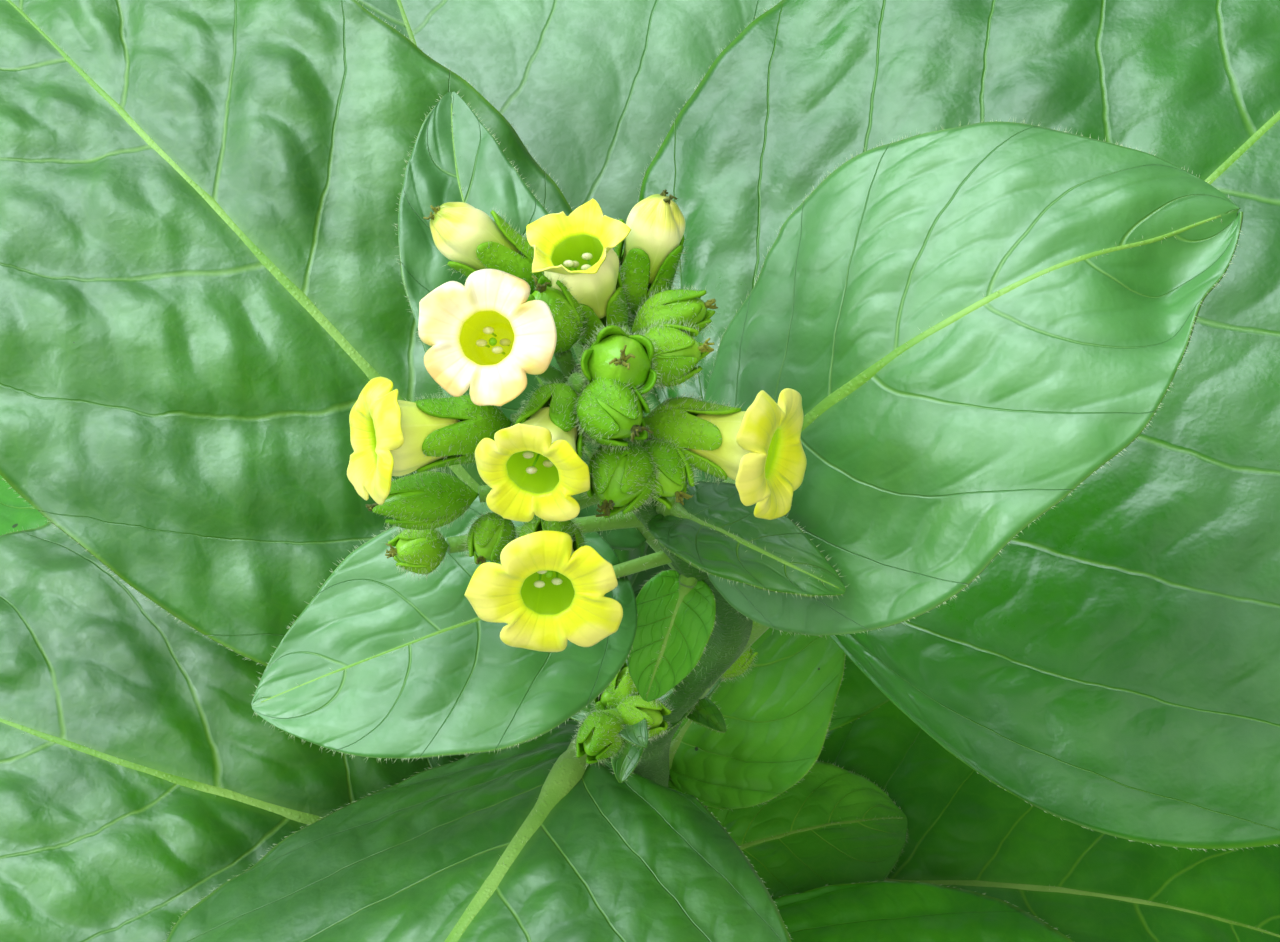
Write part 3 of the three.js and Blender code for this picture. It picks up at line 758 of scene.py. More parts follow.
# Places on the blade: t runs from the foot to the tip, v from the right margin (-1) to the left one (1)
def bladePlaces(leaf, course, t, v, side, seed):
    total = leaf["stalk"] + leaf["length"]
    back = leaf["lobe"] * np.abs(v) ** 1.5 * (1 - t) ** 5
    at = onCourse(course, (leaf["stalk"] + leaf["length"] * (t - back)) / total)
    roll, fold = math.radians(leaf["roll"]), math.radians(leaf["fold"])
    left = at["left"] * math.cos(roll) + at["up"] * math.sin(roll)
    up = at["up"] * math.cos(roll) - at["left"] * math.sin(roll)
    share = np.where(v > 0, leaf["left"], leaf["right"])
    half = halfWidth(leaf, t, v) * share + stalkRadius(leaf) * 0.6 * (1 - t) + 0.3
    half = half * (1 + leafBuild["wobble"] * np.sin(2 * np.pi * 2.3 * t + 2 * np.sign(v) + seed) * np.sin(np.pi * t))
    for spot, edge, amount, breadth in leaf["edge"]:
        half = half * (1 + amount * bell((t - spot) / breadth) * (v * edge > 0))
    q = v * half
    phase = leafBuild["waves"] * t + np.where(v < 0, 0.25, 0)
    lift = np.abs(q) * math.sin(fold) - leaf["curl"] * v * v * half
    lift += leaf["wave"] * v * v * np.sin(2 * np.pi * phase) * np.sin(np.pi * t)
    lift += bladeRelief(leaf, t, v, q, side, seed)
    places = at["place"] + left * (q * math.cos(fold))[:, None] + up * lift[:, None]
    return places, q, left, up, at["along"]


def leafPiece(node, leaf, seed):
    course = leafCourse(leaf)
    widest = leaf["width"] * max(leaf["left"], leaf["right"])
    across = 2 * round(widest / 2 / leaf["cell"])
    along = round(leaf["length"] / leaf["cell"])
    piece = gridPiece(plainName(node), across, along)
    grid = gridPlaces(piece)
    v = -np.sign(grid[:, 0]) * np.abs(grid[:, 0]) ** 1.3
    t = (1 - np.cos(np.pi * ((grid[:, 1] + 1) / 2) ** 0.9)) / 2
    places, q, left, up, forward = bladePlaces(leaf, course, t, v, np.sign(v), seed)
    layVertices(piece, places)

    # the leaf's own maps: place on the blade, distance to the rib with the phase of the veins, creases
    corner = faceCorners(piece)
    faceSide = np.repeat(np.sign(v[corner].reshape(-1, 4).mean(1)), 4)
    piece.data.uv_layers[0].name = "leafPlace"
    layMap(piece, "leafPlace", v[corner] / 2 + 0.5, t[corner])
    ribShare = np.clip(q / (3 * 0.6 * ribRadius(leaf, t)), -1, 1)[corner] / 2 + 0.5
    phase = veinPhase(leaf, t[corner], v[corner], faceSide)
    layMap(piece, "leafVeins", ribShare, phase)
    cell = np.repeat(np.floor(phase.reshape(-1, 4).mean(1)), 4)
    layMap(piece, "leafCreases", creasePhase(leaf, q[corner], phase, cell, faceSide), cell)
    setMaterials(piece, *leafMaterial[leaf["tone"]])
    thicken(piece, leafBuild["thickness"], 1)

    # stalk and middle rib are one tapering limb, flush with the top of the blade
    stalkShare = np.linspace(0, 1, 14)[:-1]
    stalk = onCourse(course, stalkShare * leaf["stalk"] / (leaf["stalk"] + leaf["length"]))["place"]
    t = np.linspace(0.0, 0.97, 60)
    ribTop, _, _, ribUp, _ = bladePlaces(leaf, course, t, 0 * t, 0 * t, seed)
    stalkRadii = stalkRadius(leaf) * (1.05 + 0.25 * np.exp(-stalkShare * leaf["stalk"] / 4))
    radii = np.append(stalkRadii, ribRadius(leaf, t))
    sink = smoothStep(0, 0.12, t) * 0.8 + 0.05
    path = np.vstack([stalk, ribTop - ribUp * (ribRadius(leaf, t) * sink)[:, None]])

    def channel(angle, share):
        return 1 - 0.16 * np.clip(np.sin(angle), 0, 1) ** 6 + 0.03 * np.sin(5 * angle)

    rib = tubePiece(piece.name + "Rib", path, radii, leafBuild["ribSides"], -left[0], channel)
    setMaterials(rib, skins["ribGreen"])
    joinInto(piece, [rib])
    handOver(piece, [node])

    # hairs along the margin, the stalk and the rib
    step = leafBuild["hairSpacing"] * (1 if leaf["tone"] != "low" else 1.6)
    count = int(leaf["length"] * 1.25 / step)
    for side in (-1, 1):
        t = np.sort(hairDraw.uniform(0.01, 0.995, count))
        edge, _, left, up, forward = bladePlaces(leaf, course, t, t * 0 + side, t * 0 + side, seed)
        away = left * side + up * hairDraw.uniform(-0.5, 0.9, (count, 1)) + forward * (0.3 + t[:, None] * 0.5)
        addHairs("leaf", edge, away, hairDraw.uniform(0.4, 1.2, count) * leafBuild["hairLength"])
    tubeHairs("leaf", path, radii * 0.97, int(sum(radii) * 3.2), (0.4, 1.1), -left[0])


for number, (node, leaf) in enumerate(leaves.items()):
    leafPiece(node, leaf, 0.9 * number)
print(f"{len(leaves)} leaves made")


# Main stem: rings extruded up from the cut foot, with ridges and a swelling at every leaf
def stemPiece():
    top = stemSizes["top"]
    clearSelection()
    bpy.ops.mesh.primitive_circle_add(vertices=stemSizes["sides"], radius=stemRadius(0) * mm, fill_type="NGON")
    piece = bpy.context.object
    piece.name = piece.data.name = "mainStem"
    heights = np.linspace(0, top, stemSizes["rings"] + 1)
    bpy.ops.object.mode_set(mode="EDIT")
    for low, high in zip(heights[:-1], heights[1:]):
        step = (stemAxis(high) - stemAxis(low)) * mm
        bpy.ops.mesh.extrude_region_move(TRANSFORM_OT_translate={"value": tuple(step)})
        grow = float(stemRadius(high) / stemRadius(low))
        bpy.ops.transform.resize(value=(grow, grow, 1), center_override=tuple(stemAxis(high) * mm))
    bpy.ops.mesh.select_all(action="SELECT")
    bpy.ops.mesh.normals_make_consistent(inside=False)
    bpy.ops.object.mode_set(mode="OBJECT")
    places = gridPlaces(piece) / mm
    z, axis = places[:, 2], stemAxis(places[:, 2])
    out = (places - axis) / np.maximum(np.linalg.norm(places - axis, axis=1), 0.01)[:, None]
    angle = np.arctan2(out[:, 1], out[:, 0])
    bulge = stemSizes["ridge"] * stemRadius(z) * np.sin(9 * angle + z / 40)
    bulge += 0.06 * np.sin(23 * angle) + 0.12 * np.sin(z / 5 + 2 * angle)
    for leaf in leaves.values():
        toward = np.cos(angle - math.radians(leaf["turn"] + leaf["bow"]))
        near = bell((z - leaf["z"] + 1.5) / 5)
        bulge += near * (0.35 + 1.1 * np.clip(toward, 0, 1) ** 3) * stalkRadius(leaf) / 3.2
    bulge *= np.clip(z / 3, 0, 1) * np.clip((top - z) / 3, 0, 1)
    layVertices(piece, places + out * bulge[:, None])
    setMaterials(piece, skins["stemGreen"])
    handOver(piece, ["main_stem"])
    z = np.linspace(0, top, 100)
    tubeHairs("stem", stemAxis(z), stemRadius(z), stemSizes["hairs"], (0.5, 1.5))


stemPiece()
print("stem made")

# Flower head. The face is where a flower or pod ends, from is the height where its stalk leaves the stem
plainFlower = {
    "tips": (0.04,) * 5, "anthers": 11.6, "cup": 0, "slant": 0, "pointed": 0, "lobes": "yellow",
    "size": 1, "state": "shut",
}
flowers = {
    "flower_cream": {
        "face": (-18, 2, 296), "turn": -105, "tilt": 67, "from": 274, "length": 18, "radius": 7.9, "notch": 0.45,
        "lobes": "cream", "tips": (0.0, 0.15, 0.02, 0.1, 0.0),
    },
    "flower_middle": {
        "face": (-13, -13, 288), "turn": -106, "tilt": 25, "from": 270, "length": 18, "radius": 7, "notch": 0.55,
        "anthers": 13.6, "tips": (0.12, 0.0, 0.14, 0.02, 0.1),
    },
    "flower_front": {
        "face": (-11, -23, 276), "turn": -90, "tilt": 35, "from": 256, "length": 18, "radius": 8.8, "notch": 0.5,
        "tips": (0.0, 0.12, 0.02, 0.1, 0.05),
    },
    "flower_top": {
        "face": (-8, 18, 290), "turn": 131, "tilt": 72, "from": 270, "length": 18, "radius": 6.5, "notch": 0.58,
        "anthers": 14.6, "cup": 1.3, "pointed": 1.0,
    },
    "flower_left": {
        "face": (-34, -4, 280), "turn": -168, "tilt": 7, "from": 266, "length": 19, "radius": 7.6, "notch": 0.62,
        "cup": -0.4, "slant": 0.34,
    },
    "flower_right": {
        "face": (18, -5, 278), "turn": -19, "tilt": 7, "from": 266, "length": 19, "radius": 7.9, "notch": 0.55,
        "cup": -0.3, "slant": 0.36,
    },
}
closedFlowers = {
    "flower_bud_left": {"face": (-25, 24, 287), "turn": 156, "tilt": 35, "from": 272, "length": 18},
    "flower_bud_right": {"face": (3, 26, 287), "turn": 64, "tilt": 54, "from": 270, "length": 17},
}
pods = {
    "pod_top": {"face": (-2, 0, 294), "turn": -73, "tilt": 70, "from": 276, "length": 10, "state": "open"},
    "pod_front_upper": {"face": (0, -7, 289), "turn": -48, "tilt": 15, "from": 272, "length": 10},
    "pod_front_lower": {"face": (-4, -13, 281), "turn": -109, "tilt": 15, "from": 264, "length": 10.5},
    "pod_right_front": {"face": (5, -10, 277), "turn": -60, "tilt": 7, "from": 262, "length": 9.5, "size": 0.85},
    "pod_right": {"face": (8, 5, 287), "turn": -5, "tilt": 24, "from": 272, "length": 10, "size": 0.9},
    "pod_right_back": {"face": (9, 13, 284), "turn": 12, "tilt": 19, "from": 268, "length": 11, "size": 0.8},
    "pod_left": {"face": (-34, -6, 266), "turn": -172, "tilt": 3, "from": 258, "length": 14, "size": 0.85},
    "pod_left_small": {"face": (-20, -12, 262), "turn": -110, "tilt": 10, "from": 252, "length": 8, "size": 0.7},
    "pod_left_low": {"face": (-32, -8, 256), "turn": -164, "tilt": 19, "from": 248, "length": 8, "size": 0.75},
    "pod_back": {"face": (-12, 13, 289), "turn": 120, "tilt": 63, "from": 272, "length": 11, "size": 0.9},
}
# The tube is height and radius from the foot up, the limb height and share of the way from mouth to rim.
# A cup is the calyx: radius at the foot, at the belly and at the neck
headSizes = {
    "stalkRadius": 1.05, "stalkSides": 14, "stalkHairs": 130, "mouth": 3.4, "petalWall": 0.22, "calyxWall": 0.4,
    "calyxHairs": 230, "flowerLength": 18, "anther": 0.56, "stigma": 0.5, "thread": 0.16, "threads": 6,
    "tube": [(6.4, 0), (6.6, 2.6), (9.2, 3.3), (11.6, 4.1), (13.6, 4.5), (15.1, 4.1)],
    "limb": [(15.9, 0), (16.4, 0.22), (16.9, 0.48), (17.2, 0.74), (17.2, 1)],
    "closed": [
        (6.4, 0), (6.6, 2.4), (9, 2.9), (11.5, 3.4), (13.4, 3.7), (15.2, 3.4), (16.6, 2.5), (17.7, 1.5), (18.1, 0),
    ],
    "flowerCup": (2.9, 3.9, 4.1), "closedCup": (2.9, 3.95, 4.0), "budCup": (0.8, 0.98, 0.8), "capsule": 3.75,
}
# Radius of a pod's calyx at its foot and belly. Then its neck, the reach of its teeth and their spread
podSizes = {"foot": 2.7, "belly": 3.95, "shut": (3.3, 0.92, -1.0), "open": (3.95, 0.74, 0.5)}


# Where a flower or pod stands: its foot, the way it looks and the path of its stalk
def turnedStand(spec):
    direction = directionOf(spec["turn"], spec["tilt"])
    foot = np.array(spec["face"], float) - direction * spec["length"]
    start = stemAxis(spec["from"])
    pull = foot - direction * 4
    rise = lerp(start, pull, 0.5) + np.array([0, 0, 1.5])
    s = np.linspace(0, 1, 13)[:, None]
    path = start * (1 - s) ** 3 + 3 * rise * s * (1 - s) ** 2 + 3 * pull * s**2 * (1 - s) + foot * s**3
    _, acrosses, _ = framesAlong(path, (0.3, 1, 0.2))
    across = acrosses[-1] - direction * acrosses[-1].dot(direction)
    across = across / np.linalg.norm(across)
    return {"foot": foot, "way": direction, "across": across, "over": np.cross(direction, across), "path": path}


def turnedPlaces(stand, height, radius, angle):
    places = stand["foot"] + stand["way"] * height[:, None]
    places = places + stand["across"] * (radius * np.cos(angle))[:, None]
    return places + stand["over"] * (radius * np.sin(angle))[:, None]


# Thin shape turned round a flower's axis: shapeAt gives height and radius at an angle and a share
def turnedSheet(name, stand, around, along, wall, shapeAt, materials, backSlot=0):
    piece = gridPiece(name, around, along)
    grid = gridPlaces(piece)
    angle, share = (grid[:, 0] + 1) * np.pi, (grid[:, 1] + 1) / 2
    height, radius = shapeAt(angle, share)
    layVertices(piece, turnedPlaces(stand, height, radius, angle))
    piece.data.uv_layers[0].name = "petalPlace"
    mergeAndFace(piece, False)
    setMaterials(piece, *materials)
    if wall:
        thicken(piece, wall, backSlot)
    return piece


def lobeShare(angle):
    return np.abs(np.cos(2.5 * angle))


# Five oval teeth on a cup, and the hairs all over it
def calyxPiece(name, stand, cup, toothFrom, toothTo, spread, seed):
    foot, belly, neck = cup
    stops = [(radius, 0) for radius in (0, foot, belly, belly * 0.99, neck, neck + spread)]

    def shapeAt(angle, share):
        middle = lobeShare(angle + 0.6)
        tooth = 1 - np.exp(-(((np.pi / 2 - np.arccos(np.clip(middle, 0, 1))) / 0.4) ** 1.8))
        tooth = tooth * lerp(0.86, 1, middle**3)
        height = share * (lerp(toothFrom, toothTo, tooth) * (1 + 0.06 * np.sin(angle * 2 + seed)))
        profile = curveThrough(stops, height / toothTo)[:, 0]
        rib = (0.12 * np.abs(np.cos(5 * angle)) ** 2 + 0.09 * belly * (middle - 0.5)) * np.sin(np.pi * share * 0.8)
        return height, profile + rib + 0.12 * np.sin(3 * angle + 9 * share + seed) * share

    piece = turnedSheet(name, stand, 60, 20, headSizes["calyxWall"], shapeAt, [skins["calyxGreen"]])
    count = int(headSizes["calyxHairs"] * belly)
    angle, share = hairDraw.uniform(0, 2 * np.pi, count), hairDraw.uniform(0.05, 1, count) ** 0.8
    height, radius = shapeAt(angle, share)
    roots = turnedPlaces(stand, height, radius, angle)
    out = roots - (stand["foot"] + stand["way"] * height[:, None])
    addHairs("head", roots, unit(out) + stand["way"] * 0.35, hairDraw.uniform(0.35, 1.35, count))
    return piece


def stalkPiece(name, stand):
    path = stand["path"]
    radii = headSizes["stalkRadius"] * (1 + 0.25 * np.exp(-np.arange(len(path)) / 1.5))
    piece = tubePiece(name, path, radii, headSizes["stalkSides"])
    setMaterials(piece, skins["stalkGreen"])
    tubeHairs("head", path, radii, headSizes["stalkHairs"], (0.5, 1.3))
    return piece


# Dry curled threads at the tip of a pod or a closed flower
def witheredPiece(name, stand, height, size, seed):
    draw = np.random.RandomState(seed)
    made = []
    for i in range(headSizes["threads"]):
        turn, lean = draw.uniform(0, 2 * np.pi), draw.uniform(0.2, 0.9)
        side = stand["across"] * math.cos(turn) + stand["over"] * math.sin(turn)
        s = np.linspace(0, 1, 6)[:, None]
        start = stand["foot"] + stand["way"] * height + side * 0.4 * size
        path = start + (stand["way"] * s + side * lean * s**1.5 + draw.normal(0, 0.16, (6, 3)) * s) * 1.9 * size
        made.append(tubePiece(name, path, np.linspace(0.34, 0.1, 6) * size + 0.06, 6))
        setMaterials(made[-1], skins["witheredBrown"])
    return joinInto(made[0], made[1:])


def ballPiece(spot, radius, segments, material, stretch=None):
    clearSelection()
    bpy.ops.mesh.primitive_uv_sphere_add(
        segments=segments, ring_count=8, radius=radius * mm, location=tuple(spot * mm)
    )
    ball = bpy.context.object
    if stretch:
        bpy.ops.object.mode_set(mode="EDIT")
        bpy.ops.transform.resize(value=stretch, center_override=tuple(spot * mm))
        bpy.ops.object.mode_set(mode="OBJECT")
    setMaterials(ball, material)
    return ball


# Stamens and stigma, seen in the mouth of an open flower
def throatPiece(name, stand, k, seed, reach):
    made = []
    draw = np.random.RandomState(seed)

    def spotAt(height, radius, turn):
        return turnedPlaces(stand, np.array([height]), np.array([radius]), np.array([turn]))[0]

    for i in range(4):
        turn = 2 * np.pi * (i + draw.uniform(0.1, 0.6)) / 4
        spot = spotAt((reach + draw.uniform(-1.4, 1.4)) * k, 1.35, turn)
        foot = spotAt(7.2 * k, 1.2, turn)
        made.append(ballPiece(spot, headSizes["anther"], 12, skins["antherPale"], (1.25, 0.85, 0.8)))
        path = np.array([lerp(foot, spot, s) for s in (0, 0.35, 0.7, 1)])
        made.append(tubePiece(name + "Thread", path, [headSizes["thread"]] * 4, 6))
        setMaterials(made[-1], skins["podGreen"])
    top = stand["foot"] + stand["way"] * 11.6 * k
    made.append(ballPiece(top, headSizes["stigma"], 14, skins["podGreen"]))
    piece = joinInto(made[0], made[1:])
    piece.name = piece.data.name = name
    selectOnly(piece)
    bpy.ops.object.transform_apply(location=True, rotation=True, scale=True)
    return piece


def openFlower(node, spec, seed):
    stand = turnedStand(spec)
    k = spec["length"] / headSizes["flowerLength"]
    face, mouth = spec["radius"], headSizes["mouth"]
    draw = np.random.RandomState(seed)
    reach, bend = 1 + draw.uniform(-0.1, 0.07, 5), draw.uniform(-0.9, 0.9, 5)
    cut = spec["notch"] * draw.uniform(0.65, 1.1, 5)
    sway = draw.uniform(0, 2 * np.pi, 2)
    profile = headSizes["tube"] + [(height, lerp(mouth, face, share)) for height, share in headSizes["limb"]]

    def shapeAt(angle, share):
        base = curveThrough(profile, share)
        height, radius = base[:, 0] * k, base[:, 1]
        limb = np.clip((share - 0.6) / 0.4, 0, 1)
        turned = angle + 0.1 * np.sin(angle + sway[0]) + 0.06 * np.sin(2 * angle + sway[1])
        number = np.rint(turned / (2 * np.pi / 5)).astype(int)
        off = turned / (2 * np.pi / 5) - number
        lobe, gap = number % 5, (number - (off < 0)) % 5
        fromCut = 0.5 - np.abs(off)
        broad = 1 - cut[gap] * np.exp(-((fromCut / 0.07) ** 1.4)) - 0.1 * (2 * np.abs(off)) ** 5
        broad = broad + np.asarray(spec["tips"])[lobe] * np.exp(-np.abs(off) / 0.1) + 0.02 * np.sin(11 * off + 2 * lobe)
        star = 1.16 - 1.45 * cut[gap] * (2 * np.abs(off)) ** 0.85
        edge = lerp(broad, star, spec["pointed"]) * lerp(reach[lobe], 1, bell(fromCut / 0.1))
        radius = np.where(limb > 0, mouth + (radius - mouth) * lerp(1, edge, limb**0.8), radius)
        radius = radius * (1 + 0.035 * bell((share - 0.42) / 0.16) * np.cos(10 * angle))
        pleat = bell(fromCut / 0.07) * limb * (1 - 0.5 * limb)
        height = height + 1.0 * pleat - 0.1 * limb * bell(off / 0.12) + 0.5 * limb**2 * np.sin(5 * off + 2 * lobe)
        height = height + 0.09 * limb * np.sin(17 * off + 3 * lobe)
        upward = stand["across"][2] * np.cos(angle) + stand["over"][2] * np.sin(angle)
        height = height - spec["slant"] * limb**0.7 * radius * upward
        height = height - limb**3 * (1.1 + 1.3 * bend[lobe] * np.cos(np.pi * off)) + spec["cup"] * 1.6 * limb**2
        return height, np.maximum(radius, 0)

    materials = [skins[spec["lobes"] + "Back"], skins[spec["lobes"] + "Lobe"]]
    petals = turnedSheet(plainName(node, "Petals"), stand, 140, 44, headSizes["petalWall"], shapeAt, materials, 1)
    handOver(petals, [node])
    handOver(throatPiece(plainName(node, "Throat"), stand, k, seed, spec["anthers"]), [node])
    calyx = calyxPiece(plainName(node, "Calyx"), stand, headSizes["flowerCup"], 5.4 * k, 11.2 * k, 0.25, seed)
    joinInto(calyx, [stalkPiece(node + "Stalk", stand)])
    handOver(calyx, [node])


def closedFlower(node, spec, seed):
    stand = turnedStand(spec)
    k = spec["length"] / headSizes["flowerLength"]

    def shapeAt(angle, share):
        base = curveThrough(headSizes["closed"], share)
        pleat = 1 - 0.34 * (1 - lobeShare(angle + 1.6 * share)) ** 1.3 * smoothStep(0.3, 0.8, share)
        return base[:, 0] * k, np.maximum(base[:, 1], 0) * pleat

    petals = turnedSheet(plainName(node, "Petals"), stand, 80, 36, 0, shapeAt, [skins["budYellow"]])
    handOver(petals, [node])
    calyx = calyxPiece(plainName(node, "Calyx"), stand, headSizes["closedCup"], 5.4 * k, 12.6 * k, 0.25, seed)
    tip = witheredPiece(node + "Tip", stand, spec["length"] - 1, 0.8, seed)
    joinInto(calyx, [stalkPiece(node + "Stalk", stand), tip])
    handOver(calyx, [node])


def podPiece(node, spec, seed):
    stand = turnedStand(spec)
    length, size = spec["length"], spec["size"]
    neck, reach, spread = podSizes[spec["state"]]

    def shapeAt(angle, share):
        radius = headSizes["capsule"] * size * np.sin(np.pi * share**0.9) ** 0.62
        groove = 1 - 0.07 * bell(np.sin(angle) / 0.18) * share - 0.02 * np.cos(8 * angle)
        return length * (0.06 + 0.86 * share), radius * groove

    capsule = turnedSheet(plainName(node, "Capsule"), stand, 40, 24, 0, shapeAt, [skins["podGreen"]])
    cup = (podSizes["foot"] * size, podSizes["belly"] * size, neck * size)
    calyx = calyxPiece(plainName(node), stand, cup, length * 0.42, length * reach, spread * size, seed)
    tip = witheredPiece(node + "Tip", stand, length * 0.9, 0.75 * size, seed)
    joinInto(calyx, [capsule, stalkPiece(node + "Stalk", stand), tip])
    handOver(calyx, [node])


for build, seed, specs in ((openFlower, 3, flowers), (closedFlower, 20, closedFlowers), (podPiece, 30, pods)):
    for number, (node, spec) in enumerate(specs.items()):
        build(node, {**plainFlower, **spec}, seed + number)
print("flower head made")

shoots = {
    "shoot_front": {"z": 172, "reach": 26, "turn": -120, "tilt": 62, "buds": 4, "size": 3.2},
    "shoot_back": {"z": 154, "reach": 26, "turn": 20, "tilt": 66, "buds": 3, "size": 3},
    "shoot_left": {"z": 109, "reach": 34, "turn": 176, "tilt": 62, "buds": 3, "size": 3.4},
    "shoot_low": {"z": 62, "reach": 26, "turn": 56, "tilt": 60, "buds": 3, "size": 3},
}
shootBuild = {"leaflets": 5, "leafletWall": 0.35, "leafletHairs": 60, "stalkHairs": 260, "rings": 12}


# Small pointed leaf of a side shoot
def leafletPiece(name, foot, along, up, length, width, seed):
    left = np.cross(up, along)
    piece = gridPiece(name, 12, 20)
    grid = gridPlaces(piece)
    v, t = -grid[:, 0], (grid[:, 1] + 1) / 2

    def halfAt(t):
        return width / 2 * (t**0.6 * (1 - t) ** 0.8 / 0.43 + 0.06)

    def placesAt(t, v, half, more=0.0):
        lift = 0.16 * length * np.sin(np.pi * t * 0.9) + 0.35 * np.abs(v) * half + more
        return foot + along * (t * length)[:, None] + left * (v * half)[:, None] + up * lift[:, None]

    half, corner = halfAt(t), faceCorners(piece)
    layVertices(piece, placesAt(t, v, half, 0.12 * np.sin(9 * t + 2 * v + seed)))
    piece.data.uv_layers[0].name = "leafPlace"
    phase = 5 * (t - 0.2 * np.abs(v))
    layMap(piece, "leafVeins", np.clip(v * half / 1.2, -1, 1)[corner] / 2 + 0.5, phase[corner])
    layMap(piece, "leafCreases", (2 * v + 3 * t)[corner], t[corner])
    setMaterials(piece, *leafMaterial["broad"])
    thicken(piece, shootBuild["leafletWall"], 1)
    count = shootBuild["leafletHairs"]
    edge = np.repeat((-1, 1), count // 2)
    s = hairDraw.uniform(0.05, 1, count)
    roots = placesAt(s, edge, halfAt(s))
    addHairs("head", roots, left * edge[:, None] + along * 0.5, hairDraw.uniform(0.3, 0.9, count))
    return piece


def shootPiece(node, spec, seed):
    direction = directionOf(spec["turn"], spec["tilt"])
    along = np.linspace(0, spec["reach"], shootBuild["rings"])
    path = stemAxis(spec["z"]) + direction * along[:, None]
    path[:, 2] += along**2 / (5 * spec["reach"])
    radii = np.linspace(1.9, 1.3, shootBuild["rings"])
    piece = tubePiece(plainName(node), path, radii, headSizes["stalkSides"])
    setMaterials(piece, skins["stalkGreen"])
    tubeHairs("head", path, radii, shootBuild["stalkHairs"], (0.4, 1.2))
    parts = []
    size, length = spec["size"], spec["size"] * 2.6

    def shapeAt(angle, share):
        return length * share, 0.86 * size * np.sin(np.pi * (0.08 + 0.92 * share) ** 0.8) ** 0.7

    cup = [share * size for share in headSizes["budCup"]]
    for b in range(spec["buds"]):
        side = directionOf(spec["turn"] + 100 * b, 20 + 15 * b)
        across = unit(np.cross(side, [0.2, 0.3, 1.0]))
        stand = {"foot": path[-1] - direction * 3 * b, "way": side, "across": across, "over": np.cross(side, across)}
        parts.append(turnedSheet(node + "Bud", stand, 24, 14, 0, shapeAt, [skins["podGreen"]]))
        calyx = calyxPiece(node + "BudCalyx", stand, cup, length * 0.6, length * 1.02, -0.3 * size, seed + b)
        parts.append(calyx)
    for b in range(shootBuild["leaflets"]):
        way = directionOf(spec["turn"] + 60 + 80 * b, 38 - 9 * b)
        up = unit(np.array([0, 0, 1.0]) - way * way[2])
        long = size * (3.4 - 0.3 * (b % 2))
        parts.append(leafletPiece(node + "Leaflet", path[-2 - b], way, up, long, 0.5 * long, seed + b))
    joinInto(piece, parts)
    handOver(piece, [node])


for number, (node, spec) in enumerate(shoots.items()):
    shootPiece(node, spec, 50 + number)
print("side shoots made")


# Fine hairs, one piece for each part of the plant. There are thousands, so each is a spike of four faces
# laid straight from its points
def hairPiece(name, group, material):
    roots = np.vstack([pair[0] for pair in hairs[group]])
    tips = np.vstack([pair[1] for pair in hairs[group]])
    along = unit(tips - roots)
    side = unit(np.cross(along, [0.31, 0.52, 0.79]))
    over = np.cross(along, side)
    thirds = [side * math.cos(a) + over * math.sin(a) for a in (0, 2.094, 4.189)]
    ring = [roots + hairRadius[group] * third for third in thirds]
    count = len(roots)
    points = np.concatenate(ring + [tips]) * mm
    a, b, c, d = (np.arange(count) + k * count for k in range(4))
    faces = np.concatenate([np.stack(f, -1) for f in ((a, b, d), (b, c, d), (c, a, d), (a, c, b))])
    mesh = bpy.data.meshes.new(name)
    mesh.from_pydata(points.tolist(), [], faces.tolist())
    piece = bpy.data.objects.new(name, mesh)
    bpy.context.scene.collection.objects.link(piece)
    setMaterials(piece, material)
    handOver(piece, [])
    print(f"{name}: {count} hairs")


hairPiece("leafHairs", "leaf", skins["hairWhite"])
hairPiece("stemHairs", "stem", skins["hairGreen"])
hairPiece("headHairs", "head", skins["hairWhite"])

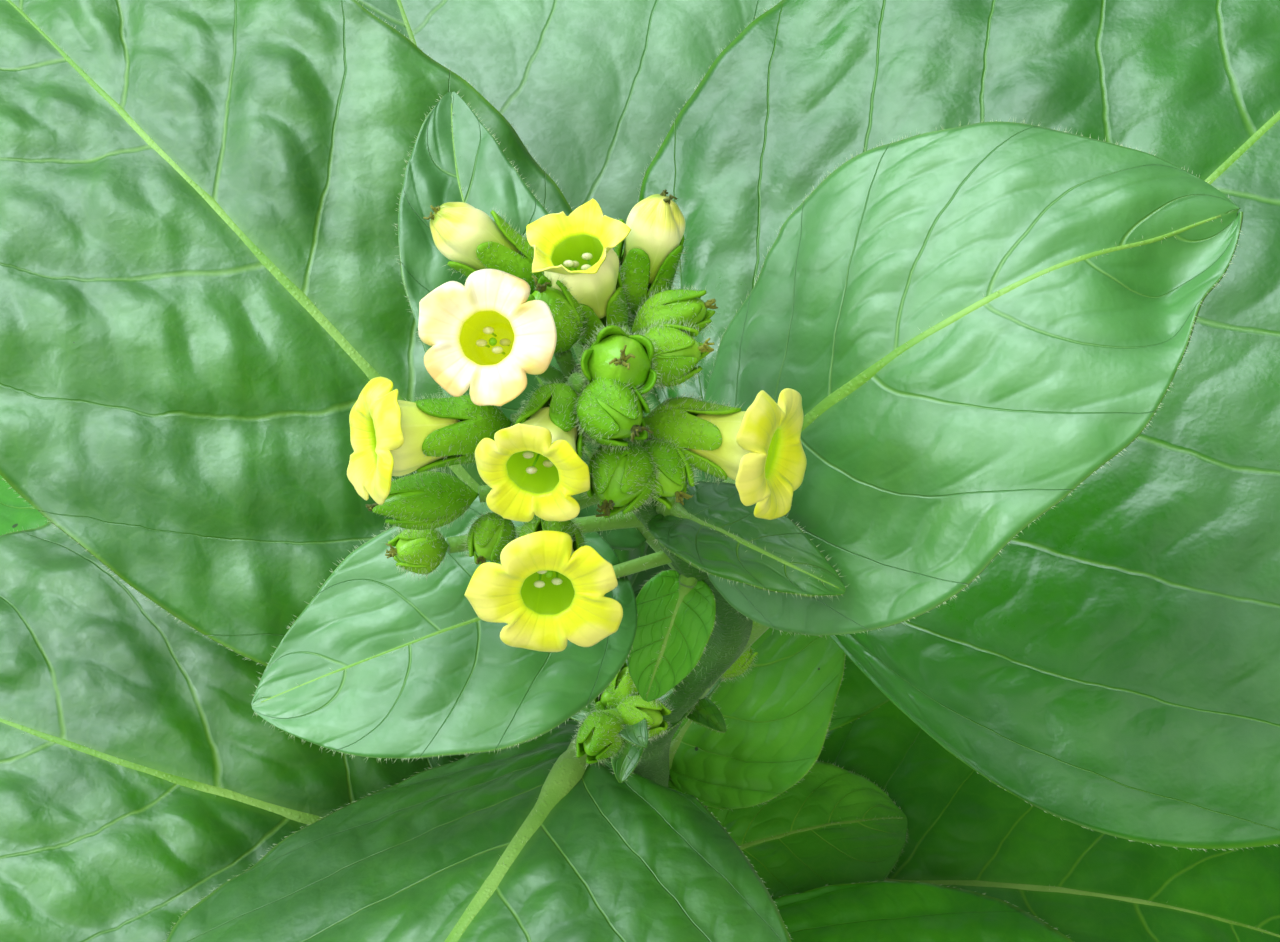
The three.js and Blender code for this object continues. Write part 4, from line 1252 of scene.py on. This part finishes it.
studio = {
    "floorSize": 60, "floorColours": (colour(164, 165, 161), colour(174, 175, 171)), "floorRoughness": 0.85,
    "sky": {
        "bright": (0.78, 0.92, 1.0, 1), "plain": (0.9, 0.95, 1.0, 1), "toward": (-0.5, 0.5, 0.7),
        "most": 0.7, "least": 0.07,
    },
    "sun": {"place": (0.2, -0.2, 2), "tilt": 20, "turn": -110, "power": 0.4, "spread": 50},
    "aim": (0, 0, 0.2),
    "lights": [
        {"name": "skyPanel", "place": (-0.48, 0.76, 1.15), "size": 0.95, "power": 13.5, "tint": (0.78, 0.93, 1.0)},
        {"name": "leftPanel", "place": (-1.2, 0.0, 0.9), "size": 0.6, "power": 9, "tint": (0.82, 0.95, 1.0)},
        {
            "name": "frontFill", "place": (0.1, -0.75, 1.3), "size": 1.5, "power": 15, "tint": (1.0, 1.0, 0.9),
            "glossy": False,
        },
    ],
}

clearSelection()
bpy.ops.mesh.primitive_plane_add(size=studio["floorSize"], location=(0, 0, 0))
floor = bpy.context.object
floor.name = "floor"
floorPaint = bpy.data.materials.new("floorPaint")
floorPaint.use_nodes = True
bench["tree"] = floorPaint.node_tree
floorShade = floorPaint.node_tree.nodes["Principled BSDF"]
floorPlace = put("ShaderNodeTexCoord").outputs["Object"]
wire(mixColour(noise(floorPlace, "floor", 2), *studio["floorColours"]), floorShade.inputs["Base Color"])
floorShade.inputs["Roughness"].default_value = studio["floorRoughness"]
setMaterials(floor, floorPaint)

# Sky: brighter at the back left, dark and plain all round
world = bpy.context.scene.world or bpy.data.worlds.new("studio")
bpy.context.scene.world = world
world.use_nodes = True
sky, bench["tree"] = studio["sky"], world.node_tree
skyLight = world.node_tree.nodes["Background"].inputs
skyWay = put("ShaderNodeTexCoord").outputs["Generated"]
skyDot = put("ShaderNodeVectorMath", {"operation": "DOT_PRODUCT"}, {0: skyWay, 1: sky["toward"]}).outputs["Value"]
wire(mixColour(fade(skyDot, 0.0, 0.9), sky["plain"], sky["bright"]), skyLight["Color"])
wire(fade(skyDot, 0.1, 0.95, sky["least"], sky["most"]), skyLight["Strength"])

sun = studio["sun"]
sunTurn = (math.radians(sun["tilt"]), 0, math.radians(sun["turn"]))
bpy.ops.object.light_add(type="SUN", location=sun["place"], rotation=sunTurn)
bpy.context.object.name = "softSun"
bpy.context.object.data.energy = sun["power"]
bpy.context.object.data.angle = math.radians(sun["spread"])
for lamp in studio["lights"]:
    back = unit(np.array(lamp["place"], float) - np.array(studio["aim"], float))
    tilt, turn = math.acos(back[2]), math.atan2(back[1], back[0]) + math.pi / 2
    bpy.ops.object.light_add(type="AREA", location=lamp["place"], rotation=(tilt, 0, turn))
    light = bpy.context.object
    light.name = lamp["name"]
    light.data.size = lamp["size"]
    light.data.energy = lamp["power"]
    light.data.color = lamp["tint"]
    light.visible_glossy = lamp.get("glossy", True)
print("floor and lights set")
